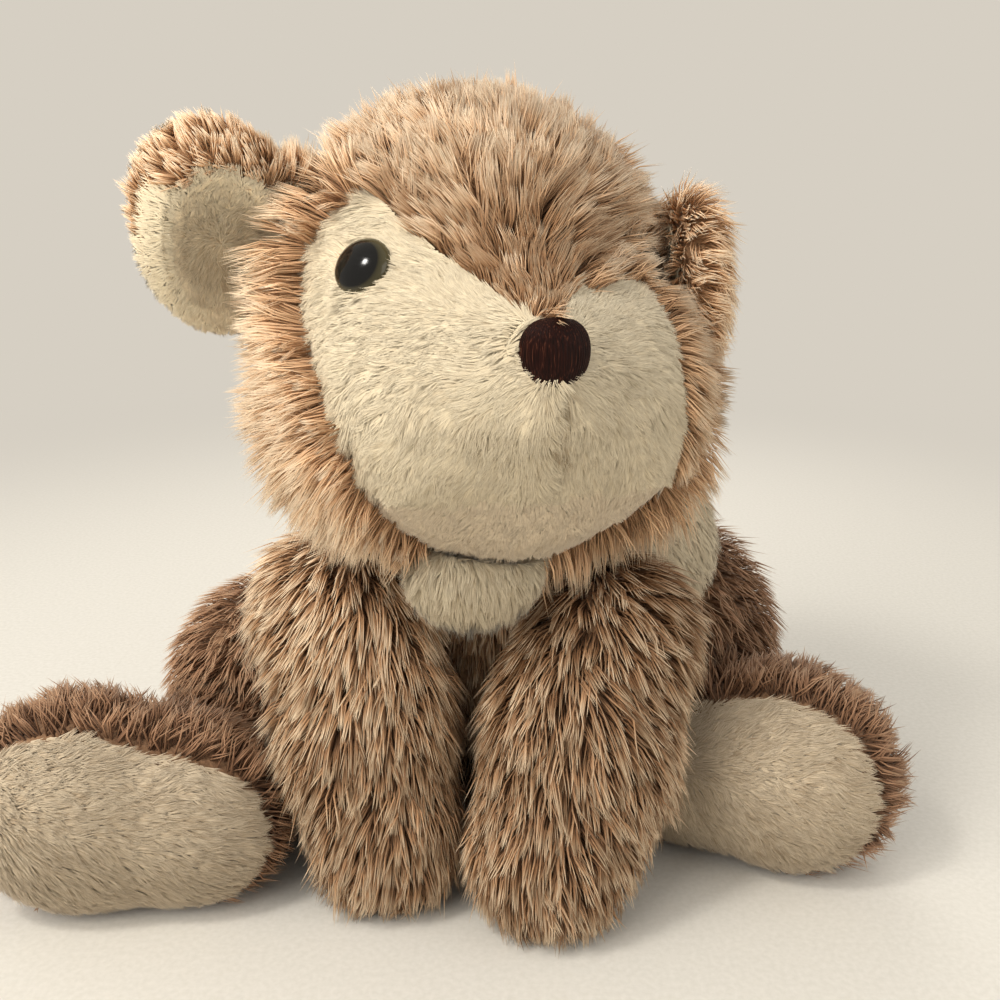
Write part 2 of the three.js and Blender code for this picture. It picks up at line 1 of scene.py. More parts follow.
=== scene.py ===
"""Looks of the long-pile stuffed animal: the fur, the short pile, the face and the light.

Distances are in millimetres in the toy's own layout, with the floor at z = 0, and turn into metres when a
mesh is made. Every hair is a closed, three-sided tapering strand that grows out of a backing cloth.
"""
import json
import math

import bpy
import numpy as np
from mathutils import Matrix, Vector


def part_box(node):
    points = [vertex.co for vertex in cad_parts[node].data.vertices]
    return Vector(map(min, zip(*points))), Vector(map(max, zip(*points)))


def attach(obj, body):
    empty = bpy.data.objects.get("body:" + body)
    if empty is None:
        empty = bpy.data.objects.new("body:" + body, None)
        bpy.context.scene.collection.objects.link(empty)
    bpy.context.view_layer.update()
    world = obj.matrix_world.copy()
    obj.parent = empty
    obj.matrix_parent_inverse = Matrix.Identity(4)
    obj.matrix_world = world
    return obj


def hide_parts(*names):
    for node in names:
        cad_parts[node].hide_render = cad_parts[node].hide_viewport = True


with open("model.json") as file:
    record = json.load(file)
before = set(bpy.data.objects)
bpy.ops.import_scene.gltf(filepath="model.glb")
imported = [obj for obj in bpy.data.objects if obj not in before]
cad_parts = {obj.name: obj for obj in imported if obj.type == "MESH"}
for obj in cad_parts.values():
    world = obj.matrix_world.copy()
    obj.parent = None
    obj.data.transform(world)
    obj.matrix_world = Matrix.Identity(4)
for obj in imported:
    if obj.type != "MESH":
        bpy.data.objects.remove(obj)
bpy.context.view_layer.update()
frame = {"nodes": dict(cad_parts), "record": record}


def vec(x, y, z):
    """A point or a direction."""
    return np.array([x, y, z], float)


MM = 1000.0
SEAT_BACK = 43.0  # how far behind the layout's origin the seat's middle is
SEAT = np.array(frame["record"]["mounts"][0]["pos_m"]) * MM
SHIFT = SEAT - vec(0, SEAT_BACK, 0)  # from the layout to the frame
FLOOR_GAP = 0.5  # the lowest that any cloth or hair comes

HEAD_MIDDLE = vec(-6, -9, 189)
HEAD_YAW = math.radians(16)
HEAD_RIGHT = vec(math.cos(HEAD_YAW), math.sin(HEAD_YAW), 0)
HEAD_BACK = vec(-math.sin(HEAD_YAW), math.cos(HEAD_YAW), 0)
HEAD_TOP = vec(0, 0, 1)
HEAD_WAYS = np.stack([HEAD_RIGHT, HEAD_BACK, HEAD_TOP])
TORSO_MIDDLE = vec(2, 38, 80)
BELLY_EDGE = 30.0  # how far to the toy's left the belly panel turns from brown to cream
ROOT_LOW = 1.5  # no hair of an arm or a leg grows lower than this

# How full of stuffing a piece is
FIRM, FULL, SOFT, LOOSE, THIN = 0.85, 0.8, 0.7, 0.6, 0.5

# What piles of one kind share. Locks are given by their size and by how strongly they draw their hairs together.
HANGING_LOCKS = (8.0, 0.25), (3.2, 0.6)
SHORT_WIDTH = 0.42
SHORT = {"locks": ((6.0, 0.2), (2.4, 0.3)), "stray": 0.25, "loose": 0.0, "rings": 1, "soft": 0.8, "mottle": 0.035}
HANGING = {"stray": 0.25, "rings": 1, "soft": 0.75, "mottle": 0.05}


# Arithmetic on whole arrays of points

def metres(points):
    """Places in the toy's layout, turned into metres in the frame."""
    return (points + SHIFT) / MM


def unit(v):
    """Each vector divided by its own length."""
    return v / np.maximum(np.linalg.norm(v, axis=-1, keepdims=True), 1e-9)


def rise(x, low, high):
    """0 below low, 1 above high, and the smooth cubic 3t^2 - 2t^3 between them."""
    t = np.clip((x - low) / (high - low), 0.0, 1.0)
    return t * t * (3.0 - 2.0 * t)


def ripple(points, size, seed):
    """A smooth random height from about -1 to 1: the mean of seven sine waves of about that wavelength."""
    rng = np.random.default_rng(seed)
    waves = unit(rng.normal(size=(7, 3))) * (2 * math.pi / size) * rng.uniform(0.7, 1.4, (7, 1))
    return np.sin(points @ waves.T + rng.uniform(0, 6.28, 7)).mean(axis=1) * 1.7


def head_place(points):
    """Points measured from the head's middle along its own right, back and top."""
    return (points - HEAD_MIDDLE) @ HEAD_WAYS.T


def head_ways(vectors):
    """Directions given along the head's right, back and top, turned into the toy's layout."""
    return vectors @ HEAD_WAYS


def pick(mask, *arrays):
    """The same rows of several arrays."""
    return tuple(values[mask] for values in arrays)


# Solids of the frame

def threes(items, key, per_item, kind=float):
    """Values of a mesh's items in rows of three."""
    values = np.empty(len(items) * per_item, kind)
    items.foreach_get(key, values)
    return values.reshape(-1, 3)


def solid(*nodes):
    """The welded corners and the triangles of some nodes of the frame."""
    corners, faces, start = [], [], 0
    for node in nodes:
        mesh = frame["nodes"][node].data
        corners.append(threes(mesh.vertices, "co", 3))
        faces.append(threes(mesh.loops, "vertex_index", 1, np.int64) + start)
        start += len(mesh.vertices)
    corners = np.concatenate(corners) * MM - SHIFT
    kept, back = np.unique(np.round(corners, 3), axis=0, return_inverse=True)
    return kept, back.reshape(-1)[np.concatenate(faces)]


def crosses(corners, faces):
    """The cross product of two sides of each face, which points out of it and is twice its area long."""
    a, b, c = (corners[faces[:, corner]] for corner in range(3))
    return np.cross(b - a, c - a)


def slopes(corners, faces, shown=None):
    """Corner normals: the sum of the cross products of the faces that meet there, over its length."""
    cross = crosses(corners, faces)
    if shown is not None:
        cross = cross * shown[:, None]
    normals = np.zeros_like(corners)
    for corner in range(3):
        np.add.at(normals, faces[:, corner], cross)
    return unit(normals)


def roots(corners, faces, count, rng, wanted=None):
    """Evenly scattered places on the faces, with their normals.

    They come at equal steps of area, each at a random spot of its face. Wanted is the share of hair on each face.
    The draws are from rng, or from a new run of draws that starts with that number.
    """
    rng = np.random.default_rng(rng)
    area = np.linalg.norm(crosses(corners, faces), axis=1) / 2
    if wanted is None:
        wanted = np.ones(len(faces))
    share = np.cumsum(area * wanted)
    step = (np.arange(count) + rng.random(count)) / count * share[-1]
    face = faces[np.minimum(np.searchsorted(share, step), len(faces) - 1)]
    a, b = rng.random(count), rng.random(count)
    fold = a + b > 1
    a[fold], b[fold] = 1 - a[fold], 1 - b[fold]
    parts = np.stack([1 - a - b, a, b], axis=1)[:, :, None]
    normals = slopes(corners, faces, (wanted > 0).astype(float))
    return (corners[face] * parts).sum(axis=1), unit((normals[face] * parts).sum(axis=1))


def facing_out(corners, faces, middle, least=0.25):
    """1 for the faces that look away from a middle point, 0 for the others."""
    ways = unit(corners[faces].mean(axis=1) - middle)
    return ((unit(crosses(corners, faces)) * ways).sum(axis=1) > least).astype(float)


def facing_way(corners, faces, look, least=0.1):
    """1 for the faces that look along a direction, 0 for the others."""
    return (unit(crosses(corners, faces)) @ look > least).astype(float)


def skin(node, count, rng, middle=None, least=0.25):
    """Roots on a node, on all of it or on the faces that look away from a middle point."""
    corners, faces = solid(node)
    return roots(corners, faces, count, rng, None if middle is None else facing_out(corners, faces, middle, least))


def middle_of(node):
    """The middle of a node's box."""
    low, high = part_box(node)
    return (np.array(low) + np.array(high)) / 2 * MM - SHIFT


def near(points, others, reach):
    """True for each point within about one cell of any of the others: both are rounded to cells of that size."""
    most = 2000  # cells from the origin to the end of each axis

    def cells(p):
        """The number of the cell that each point is in."""
        c = np.floor(p / reach).astype(np.int64) + most
        return (c[:, 0] * (2 * most + 1) + c[:, 1]) * (2 * most + 1) + c[:, 2]

    steps = np.array([[x, y, z] for x in (-1, 0, 1) for y in (-1, 0, 1) for z in (-1, 0, 1)]) * reach
    taken = np.unique(np.concatenate([cells(others + s) for s in steps]))
    return np.isin(cells(points), taken)


# Meshes

def cloth(name, corners, quads=None, tris=None, uv=None, normals=None):
    """A smooth-shaded mesh object of quads and triangles, with its own map and shading normals if they are given."""
    quads = np.zeros((0, 4), np.int64) if quads is None else quads
    tris = np.zeros((0, 3), np.int64) if tris is None else tris
    mesh = bpy.data.meshes.new(name)
    mesh.vertices.add(len(corners))
    mesh.vertices.foreach_set("co", metres(corners).astype(np.float32).ravel())
    index = np.concatenate([quads.ravel(), tris.ravel()]).astype(np.int32)
    sizes = np.concatenate([np.full(len(quads), 4), np.full(len(tris), 3)])
    mesh.loops.add(len(index))
    mesh.loops.foreach_set("vertex_index", index)
    mesh.polygons.add(len(sizes))
    starts = np.concatenate([[0], np.cumsum(sizes)[:-1]])
    mesh.polygons.foreach_set("loop_start", starts.astype(np.int32))
    if uv is not None:
        mesh.uv_layers.new(name="OFBake").data.foreach_set("uv", uv.astype(np.float32).ravel())
    mesh.update(calc_edges=True)
    mesh.shade_smooth()
    if normals is not None:
        mesh.normals_split_custom_set_from_vertices(normals)
    obj = bpy.data.objects.new(name, mesh)
    bpy.context.collection.objects.link(obj)
    return obj


def read(obj):
    """The corners and triangles of an object with its modifiers applied."""
    made = obj.evaluated_get(bpy.context.evaluated_depsgraph_get()).to_mesh()
    made.calc_loop_triangles()
    return threes(made.vertices, "co", 3) * MM - SHIFT, threes(made.loop_triangles, "vertices", 3, np.int64)


def backing(name, nodes, voxel, inset, rounds=6, other=None):
    """The cloth under a pile: the nodes' shape evened out to small cells, smoothed, and pulled in along its normals.

    Where the function other gives 1, the cloth takes the second colour of its finish.
    """
    corners, faces = solid(*nodes)
    rough = cloth(name + "_rough", corners, tris=faces)
    even = rough.modifiers.new("even", "REMESH")
    even.mode = "VOXEL"
    even.voxel_size = voxel / MM
    soft = rough.modifiers.new("soft", "SMOOTH")
    soft.iterations = rounds
    corners, faces = read(rough)
    bpy.data.objects.remove(rough)
    share = np.zeros(len(corners)) if other is None else other(corners).astype(float)
    corners = corners - slopes(corners, faces) * inset
    corners[:, 2] = np.maximum(corners[:, 2], FLOOR_GAP)
    piece = cloth(name, corners, tris=faces)
    which = piece.data.attributes.new("other_cloth", "FLOAT", "POINT")
    which.data.foreach_set("value", share.astype(np.float32))
    return piece


def closed(name, corners, steps, ends, flip=False):
    """A closed surface of rows of corners, each row a ring of that many steps, with a point at each end.

    Flip is for rows that run the other way round.
    """
    lap = np.arange(steps)
    turn = np.roll(lap, -1)
    row = np.arange(len(corners) // steps - 1)[:, None] * steps
    quads = np.stack([row + lap, row + turn, row + steps + turn, row + steps + lap], axis=-1).reshape(-1, 4)
    top, low = len(corners) - steps, np.full(steps, len(corners))
    tris = np.concatenate([np.stack([turn, lap, low], axis=1), np.stack([top + lap, top + turn, low + 1], axis=1)])
    if flip:
        quads, tris = quads[:, ::-1], tris[:, [1, 0, 2]]
    return cloth(name, np.concatenate([corners, ends]), quads, tris)


# Pile

def lock_of(points, size, seed):
    """The lock that each hair belongs to: cells of that size, bent by a slow ripple so that they don't line up."""
    bent = points + np.stack([ripple(points, size * 3.1, seed + k) for k in range(3)], axis=1) * size * 0.55
    turn = np.linalg.qr(np.random.default_rng(seed).normal(size=(3, 3)))[0]
    cell = np.floor(bent @ turn / size).astype(np.int64)
    _, lock = np.unique(cell, axis=0, return_inverse=True)
    return lock.reshape(-1)


def mean_by(lock, values):
    """The mean of the values of each lock, handed back to every hair of it."""
    total = np.zeros((lock.max() + 1, values.shape[1]))
    np.add.at(total, lock, values)
    return (total / np.bincount(lock)[:, None])[lock]


def pile(name, points, normals, flow, length, width, depth=5.0, lift=(0.6, 0.18), sag=0.2,
         locks=((9.0, 0.25), (3.0, 0.6)), bend=1.4, stray=0.18, swirl=0.0, loose=0.06, curl=0.4, fray=0.25,
         rings=2, flat=0.5, taper=0.75, soft=0.15, tone=0.0, mottle=0.13, seed=1):
    """Hairs on the given roots.

    A hair starts depth under its root, along a mix of normal and flow, and turns toward a flatter mix that sags:
    place = start + length * (first * (t - t^2 / 2) + last * t^2 / 2). For each size of lock it is drawn toward
    that lock's mean hair by pull * t^bend * (1 - fray * t^3), and it is waved sideways by curl * t * sin(3t).
    A few loose hairs stay out of their locks, and slow swirls turn the flow. Lift is the share of the normal at
    the root and at the tip. The hair's map holds its tone across and the way from root to tip along.
    """
    rng = np.random.default_rng(seed)
    count = len(points)
    each = lambda values: np.broadcast_to(np.asarray(values, float).reshape(-1, 1), (count, 1))
    groups = lock_of(points, locks[-1][0], seed)
    of_lock = lambda scale: rng.normal(size=(groups.max() + 1, 1))[groups] * scale
    flow = unit(flow - (flow * normals).sum(axis=1, keepdims=True) * normals)
    swing = of_lock(stray * 1.2) + rng.normal(size=(count, 1)) * stray * 0.6
    swing = swing + each(swirl) * ripple(points, 18, seed + 7)[:, None]
    flow = unit(flow + np.cross(normals, flow) * swing)
    free = (rng.random((count, 1)) < loose).astype(float)
    lean = np.clip(each(lift[0]) + of_lock(0.06) + rng.normal(size=(count, 1)) * 0.05 + 0.15 * free, 0.03, 1.0)
    rest = np.clip(each(lift[1]) + 0.12 * free, 0.0, 1.0)
    first = unit(normals * lean + flow * (1 - lean))
    last = unit(normals * rest + flow * (1 - rest) - vec(0, 0, 1) * each(sag))
    reach = each(length) * np.exp(of_lock(0.09)) * rng.uniform(0.82, 1.1, (count, 1))
    base = points - normals * each(depth)
    t = np.linspace(0, 1, rings + 1)[None, :, None]

    def way(root, a, b, far):
        """The points of a hair from its root, which starts along a and ends along b."""
        return root[:, None] + far[:, None] * (a[:, None] * (t - t * t / 2) + b[:, None] * t * t / 2)

    line = way(base, first, last, reach)
    for size, pull in locks:
        group = lock_of(points, size, seed)
        middle, start, end, far = (mean_by(group, v) for v in (base, first, last, reach))
        drawn = pull * t ** bend * (1 - fray * t ** 3)
        line += (way(middle, start, end, far) - line) * drawn * (1 - 0.8 * free)[:, None]
    side = unit(np.cross(last, normals))
    line += side[:, None] * (np.sin(3 * t) * t * of_lock(curl)[:, None])
    line[:, :, 2] = np.maximum(line[:, :, 2], FLOOR_GAP)
    shade = np.clip(0.5 + tone + of_lock(mottle)[:, 0] + rng.normal(size=count) * 0.10, 0.02, 0.93)
    thick = width * rng.uniform(0.75, 1.25, (count, 1, 1))
    return strands(name, line, side, thick, flat, taper, shade, normals, soft)


def strands(name, line, side, thick, flat, taper, shade, skin, soft):
    """Closed three-sided hairs along the given lines, with a left, a right and a crest at each point and one tip.

    Each corner is shaded by a mix of its own outward way and the skin's normal, by the share soft, so that the
    pile takes the light as one soft form.
    """
    count, points = line.shape[:2]
    rings = points - 1
    along = unit(np.gradient(line, axis=1))[:, :rings]
    side = unit(np.repeat(side[:, None], rings, axis=1))
    crest = unit(np.cross(side, along))
    t = np.linspace(0, 1, points)[None, :rings, None]
    half = thick * 0.5 * (1 - taper * t ** 2)
    left = line[:, :rings] - side * half - crest * half * flat * 0.5
    right = line[:, :rings] + side * half - crest * half * flat * 0.5
    top = line[:, :rings] + crest * half * flat
    corners = np.concatenate([np.stack([left, right, top], axis=2).reshape(count, -1, 3), line[:, rings:]], axis=1)
    corners[:, :, 2] = np.maximum(corners[:, :, 2], FLOOR_GAP)
    outward = np.stack([-side - crest * 0.6, side - crest * 0.6, crest], axis=2).reshape(count, -1, 3)
    outward = unit(np.concatenate([outward, along[:, -1:] + crest[:, -1:] * 0.3], axis=1))
    outward = unit(outward * (1 - soft) + skin[:, None] * soft)
    each = corners.shape[1]
    here = np.arange(rings - 1)[:, None] * 3
    quads = np.concatenate([here + [b, a, a + 3, b + 3] for a, b in ((0, 1), (1, 2), (2, 0))])
    tip, last = 3 * rings, 3 * (rings - 1)
    tris = np.array([[last + 1, last, tip], [last + 2, last + 1, tip], [last, last + 2, tip], [0, 1, 2]])
    place = np.append(np.repeat(np.arange(rings), 3), rings) / rings
    across = np.append(np.tile([0.0, 0.04, 0.02], rings), 0.02)
    offset = (np.arange(count) * each)[:, None, None]
    quad_map = np.stack([across[quads], place[quads]], axis=-1)
    tri_map = np.stack([across[tris], place[tris]], axis=-1)
    tri_map[3, 1, 1] = 0.05
    slide = np.zeros((count, 1, 1, 2))
    slide[:, 0, 0, 0] = shade
    uv = np.concatenate([(quad_map[None] + slide).reshape(-1, 2), (tri_map[None] + slide).reshape(-1, 2)])
    return cloth(name, corners.reshape(-1, 3), (quads[None] + offset).reshape(-1, 4),
                 (tris[None] + offset).reshape(-1, 3), uv, outward.reshape(-1, 3))


# Finishes

def finish_of(name, slots=()):
    """A new material, its node tree and its Principled shader, with some of the shader's values set."""
    material = bpy.data.materials.new(name)
    material.use_nodes = True
    tree = material.node_tree
    shader = tree.nodes["Principled BSDF"]
    for socket, value in dict(slots).items():
        shader.inputs[socket].default_value = value
    return material, tree, shader


def sRGB(r, g, b):
    """A linear colour from 0 to 255 display values: ((c + 0.055) / 1.055)^2.4, or c / 12.92 where dark."""
    c = np.array([r, g, b]) / 255.0
    c = np.where(c <= 0.04045, c / 12.92, ((c + 0.055) / 1.055) ** 2.4)
    return (*c.tolist(), 1.0)


def add(tree, kind, links=(), **settings):
    """A shader node of that kind with its settings, and its inputs linked to outputs or set to values."""
    node = tree.nodes.new("ShaderNode" + kind)
    for key, value in settings.items():
        setattr(node, key, value)
    for key, value in dict(links).items():
        if isinstance(value, bpy.types.NodeSocket):
            tree.links.new(value, node.inputs[key])
        else:
            node.inputs[key].default_value = value
    return node


def ramp(tree, factor, stops, linear=False):
    """A colour ramp through (place, colour) stops, in display values from 0 to 255 unless they are linear."""
    node = add(tree, "ValToRGB", {0: factor})
    bar = node.color_ramp.elements
    while len(bar) < len(stops):
        bar.new(0.5)
    for element, (place, colour) in zip(bar, stops):
        element.position, element.color = place, (*colour, 1.0) if linear else sRGB(*colour)
    return node.outputs[0]


def grain(tree, scale, detail=2.0, stretch=None, place=None):
    """Fine noise over a piece's own place, which is first multiplied by stretch along each axis."""
    if place is None:
        place = add(tree, "TexCoord").outputs["Object"]
    if stretch is not None:
        place = add(tree, "Mapping", {0: place, 3: stretch}).outputs[0]
    return add(tree, "TexNoise", {"Vector": place, "Scale": scale, "Detail": detail}).outputs[0]


def paint(tree, shader, colour, value, rough, span=(0.0, 1.0)):
    """Links a colour, and a roughness that goes from the first to the second as the value crosses its span."""
    tree.links.new(colour, shader.inputs["Base Color"])
    smooth = add(tree, "MapRange", {0: value, 1: span[0], 2: span[1], 3: rough[0], 4: rough[1]})
    tree.links.new(smooth.outputs[0], shader.inputs["Roughness"])


def emboss(tree, shader, height, distance, strength):
    """A bump on the shader's normal, by a height from 0 to 1 that stands for that distance in metres."""
    bump = add(tree, "Bump", {"Height": height, "Distance": distance, "Strength": strength})
    tree.links.new(bump.outputs[0], shader.inputs["Normal"])


def tone_group():
    """A hair's colour by its tone: mixed toward a warmer one on some hairs, then times a dark to bright level."""
    tree = bpy.data.node_groups.new("hair_tone", "ShaderNodeTree")
    for name, kind in (("Colour", "Color"), ("Tone", "Float"), ("Warm", "Color")):
        tree.interface.new_socket(name, in_out="INPUT", socket_type="NodeSocket" + kind)
    tree.interface.new_socket("Colour", in_out="OUTPUT", socket_type="NodeSocketColor")
    inward, outward = tree.nodes.new("NodeGroupInput"), tree.nodes.new("NodeGroupOutput")
    colour, tone, warm = (inward.outputs[name] for name in ("Colour", "Tone", "Warm"))
    some = add(tree, "Math", {0: tone, 1: 37.0}, operation="MULTIPLY")
    some = add(tree, "Math", {0: some.outputs[0]}, operation="SINE")
    some = add(tree, "MapRange", {0: some.outputs[0], 1: -1.0, 2: 1.0, 3: 0.0, 4: 0.4})
    mixed = add(tree, "Mix", {0: some.outputs[0], 6: colour, 7: warm}, data_type="RGBA")
    levels = [(0.0, (0.44, 0.36, 0.28)), (0.5, (0.97, 0.96, 0.94)), (1.0, (1.3, 1.31, 1.3))]
    level = ramp(tree, tone, levels, linear=True)
    lit = add(tree, "Mix", {0: 1.0, 6: mixed.outputs[2], 7: level}, data_type="RGBA", blend_type="MULTIPLY")
    tree.links.new(lit.outputs[2], outward.inputs[0])
    return tree


HAIR_TONE = tone_group()


def hair(name, stops, warm, rough=(0.66, 0.46), sheen=0.03, gloss=0.24):
    """Hair whose colour runs from its root to its tip, and whose tone is its own. Some hairs turn toward warm."""
    slots = {"Sheen Weight": sheen, "Sheen Roughness": 0.4, "Specular IOR Level": gloss}
    material, tree, shader = finish_of(name, slots)
    own = add(tree, "UVMap", uv_map="OFBake")
    parts = add(tree, "SeparateXYZ", {0: own.outputs[0]})
    toned = add(tree, "Group", node_tree=HAIR_TONE)
    tree.links.new(ramp(tree, parts.outputs[1], stops), toned.inputs["Colour"])
    tree.links.new(parts.outputs[0], toned.inputs["Tone"])
    toned.inputs["Warm"].default_value = sRGB(*warm)
    paint(tree, shader, toned.outputs[0], parts.outputs[1], rough)
    return material


def knit(name, dark, light, other=None, size=900.0, height=0.0006):
    """Backing cloth: two tones over a fine noise that is its bump too. Other holds a neighbouring cloth's tones."""
    material, tree, shader = finish_of(name, {"Sheen Weight": 0.2, "Sheen Roughness": 0.5})
    fine, slow = grain(tree, size, 3.0), grain(tree, 45.0)
    both = add(tree, "Mix", {0: 0.35, 2: fine, 3: slow}).outputs[0]
    colour = ramp(tree, both, [(0.32, dark), (0.68, light)])
    if other is not None:
        share = add(tree, "Attribute", attribute_name="other_cloth").outputs["Fac"]
        beside = ramp(tree, both, [(0.32, other[0]), (0.68, other[1])])
        colour = add(tree, "Mix", {0: share, 6: colour, 7: beside}, data_type="RGBA").outputs[2]
    paint(tree, shader, colour, fine, (0.8, 0.95))
    emboss(tree, shader, fine, height, 0.8)
    return material


# A finish is a material and the record's slot for it
# The long piles run from dark roots to pale tips. This is partly the fibres' own colour, partly painted shade deep in
# the pile and partly painted sheen on the tips.
FAWN_HAIR = hair("long_fawn_pile", [(0.0, (148, 110, 76)), (0.3, (186, 147, 109)), (0.62, (209, 174, 137)),
                                    (0.92, (236, 217, 189))], (210, 168, 132)), "long_pile"
ARM_HAIR = hair("arm_pile", [(0.0, (80, 54, 34)), (0.32, (128, 94, 66)), (0.62, (168, 131, 97)),
                             (0.9, (232, 210, 180))], (168, 128, 94)), "long_pile"
LEG_HAIR = hair("leg_pile", [(0.0, (86, 59, 40)), (0.35, (128, 94, 68)), (0.68, (162, 125, 96)),
                             (0.94, (198, 164, 132))], (162, 122, 94)), "long_pile"
CREAM_HAIR = hair("short_cream_pile", [(0.0, (217, 202, 173)), (0.5, (217, 202, 173)), (1.0, (224, 211, 185))],
                  (217, 198, 167), (0.9, 0.75), 0.2, 0.12), "short_pile"
SOLE_HAIR = hair("sole_pile", [(0.0, (208, 190, 163)), (0.5, (208, 191, 164)), (1.0, (216, 200, 176))],
                 (206, 186, 160), (0.9, 0.7), 0.2, 0.12), "short_pile"
FAWN_CLOTH = (104, 74, 50), (150, 114, 82)
HEAD_CLOTH = (146, 110, 76), (184, 146, 108)
CREAM_CLOTH = (208, 193, 164), (222, 208, 180)
FAWN_BACK = knit("fawn_backing", *FAWN_CLOTH, other=CREAM_CLOTH), "long_pile"
HEAD_BACK_CLOTH = knit("head_backing", *HEAD_CLOTH, other=CREAM_CLOTH), "long_pile"
CREAM_BACK = knit("cream_backing", *CREAM_CLOTH, other=HEAD_CLOTH), "short_pile"
SOLE_BACK = knit("sole_backing", (192, 175, 149), (206, 190, 165)), "short_pile"


def dress(obj, finish, body, fill, *nodes):
    """Gives a piece its finish, the body that it rides on, and the nodes that it stands for.

    Fill is how much of it is stuffing, or None where the piece is hard. It is not used.
    """
    material, slot = finish
    obj.data.materials.clear()
    obj.data.materials.append(material)
    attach(obj, body)
    if nodes:
        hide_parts(*nodes)


# Head

PANELS = ("cheek_left", "cheek_right", "chin_panel", "forehead_gusset")


def head_flow(points):
    """Hair runs back from the nose over the head, out over the ears' feet, and sinks at the sides below the eyes."""
    at = head_place(points)
    x, _, z = at.T
    away = unit(at - vec(0, -74, 4))
    low = rise(-z, -25, 30)[:, None]
    over_ear = (rise(np.abs(x), 38, 54) * rise(z, -12, 8) * np.where(x < 0, 1.0, 0.5))[:, None]
    out = np.sign(at[:, :1]) * vec(1, 0, 0) + vec(0, -0.1, 0.05)
    return head_ways(unit(away + vec(0, 0.25, -0.75) * low + out * over_ear * 1.3))


def head_fur():
    """The head's long hair. Hands back the roots, which trace the outer edge of the face panels.

    Beside the panels it is denser and less deep, and in tufts it leans in over them.
    """
    rng = np.random.default_rng(11)
    dress(backing("head_backing", ["head", "forehead_gusset"], 2.9, 4.6), HEAD_BACK_CLOTH, "head", FIRM, "head")
    spots, _ = roots(*solid(*PANELS), 60000, 5)
    beside = 3.2
    corners, faces = solid("head")
    y = head_place(corners[faces].mean(axis=1))[:, 1]
    wanted = facing_out(corners, faces, HEAD_MIDDLE, 0.05) * (1.0 - 0.35 * rise(y, -5, 25))
    points, normals = roots(corners, faces, 36500, rng, wanted)
    more, slope = roots(corners, faces, 36500, rng, wanted)
    edge = near(more, spots, beside)
    points, normals = np.concatenate([points, more[edge]]), np.concatenate([normals, slope[edge]])
    at = head_place(points)
    neck_hole = (at[:, 2] < -44) & (np.abs(at[:, 0]) < 36) & (at[:, 1] > -22)
    points, normals, at = pick(~near(points, spots, 0.9) & ~neck_hole, points, normals, at)
    by_panel = near(points, spots, beside)
    depth = np.where(by_panel, 1.4, 4.6)
    for seed, (name, mask) in enumerate({"head_fur_left": at[:, 0] >= 0, "head_fur_right": at[:, 0] < 0}.items()):
        p, n, edge = pick(mask, points, normals, by_panel)
        x, y, z = at[mask].T
        crown = rise(z, 36, 66)
        side = rise(np.abs(x), 34, 54) * rise(-y, -34, -8)
        jaw = rise(-z, 18, 42) * rise(-y, -14, 14)
        ear_foot = side * (x < 0) * rise(z, 2, 14) * (1 - rise(z, 44, 60))
        brow = rise(-y, 8, 58) * rise(z, 0, 36)
        long = 16.0 + 1.3 * ripple(p, 40, 3) + 3.0 * side * (x < 0) + 4.5 * ear_foot
        long = long - 1.0 * crown + 2.0 * jaw - 3.0 * brow + 7.0 * jaw * (x > 4)
        lift = 0.66 + 0.12 * crown + 0.14 * side, 0.2 + 0.26 * crown + 0.28 * side
        sag = 0.08 + jaw * np.where(x > 4, 0.7, 0.35) + 0.06 * side
        # Painted light: the head's right side, which faces the lamp, and the hair beside the face panels are lighter.
        # The brow is darker, partly darker hair and partly painted shade.
        tone = 0.16 * side * (x < 0) + 0.07 * ripple(p, 34, 8) - 0.34 * brow + 0.06 * jaw + 0.1 * edge
        flow = head_flow(p)
        inward = edge & (ripple(p, 9, 77) > 0.1)
        flow[inward] = flow[inward] * -0.6 - vec(0, 0, 0.25)
        long[inward] -= 6.0
        clear, outward = by_left_eye(p)
        flow = flow * (1 - clear) + outward * clear
        long -= 6.0 * clear[:, 0]
        fur = pile(name, p, n, flow, long, 0.58, depth=depth[mask], lift=lift, sag=sag,
                   locks=((13.0, 0.35), (4.6, 0.62)), bend=1.3, stray=0.4, swirl=0.5 + 0.7 * edge + 0.6 * side,
                   loose=0.1, curl=0.9, tone=tone, seed=20 + seed)
        dress(fur, FAWN_HAIR, "head", FIRM)
    gusset()
    fringe()
    return points


def by_left_eye(points):
    """How near each root is to the left eye, 1 at its rim and 0 from 19 mm, and its way away from the eye.

    The hair between the eye and the nose stays long, so that it still hides the eye from the front.
    """
    eye = middle_of("eye_left")
    apart = points - eye
    distance = np.linalg.norm(apart, axis=1, keepdims=True)
    beyond = rise(head_place(points)[:, :1] - head_place(eye)[:1], -7, 0)
    return (1 - rise(distance, 10, 19)) * (0.25 + 0.75 * beyond), apart / distance


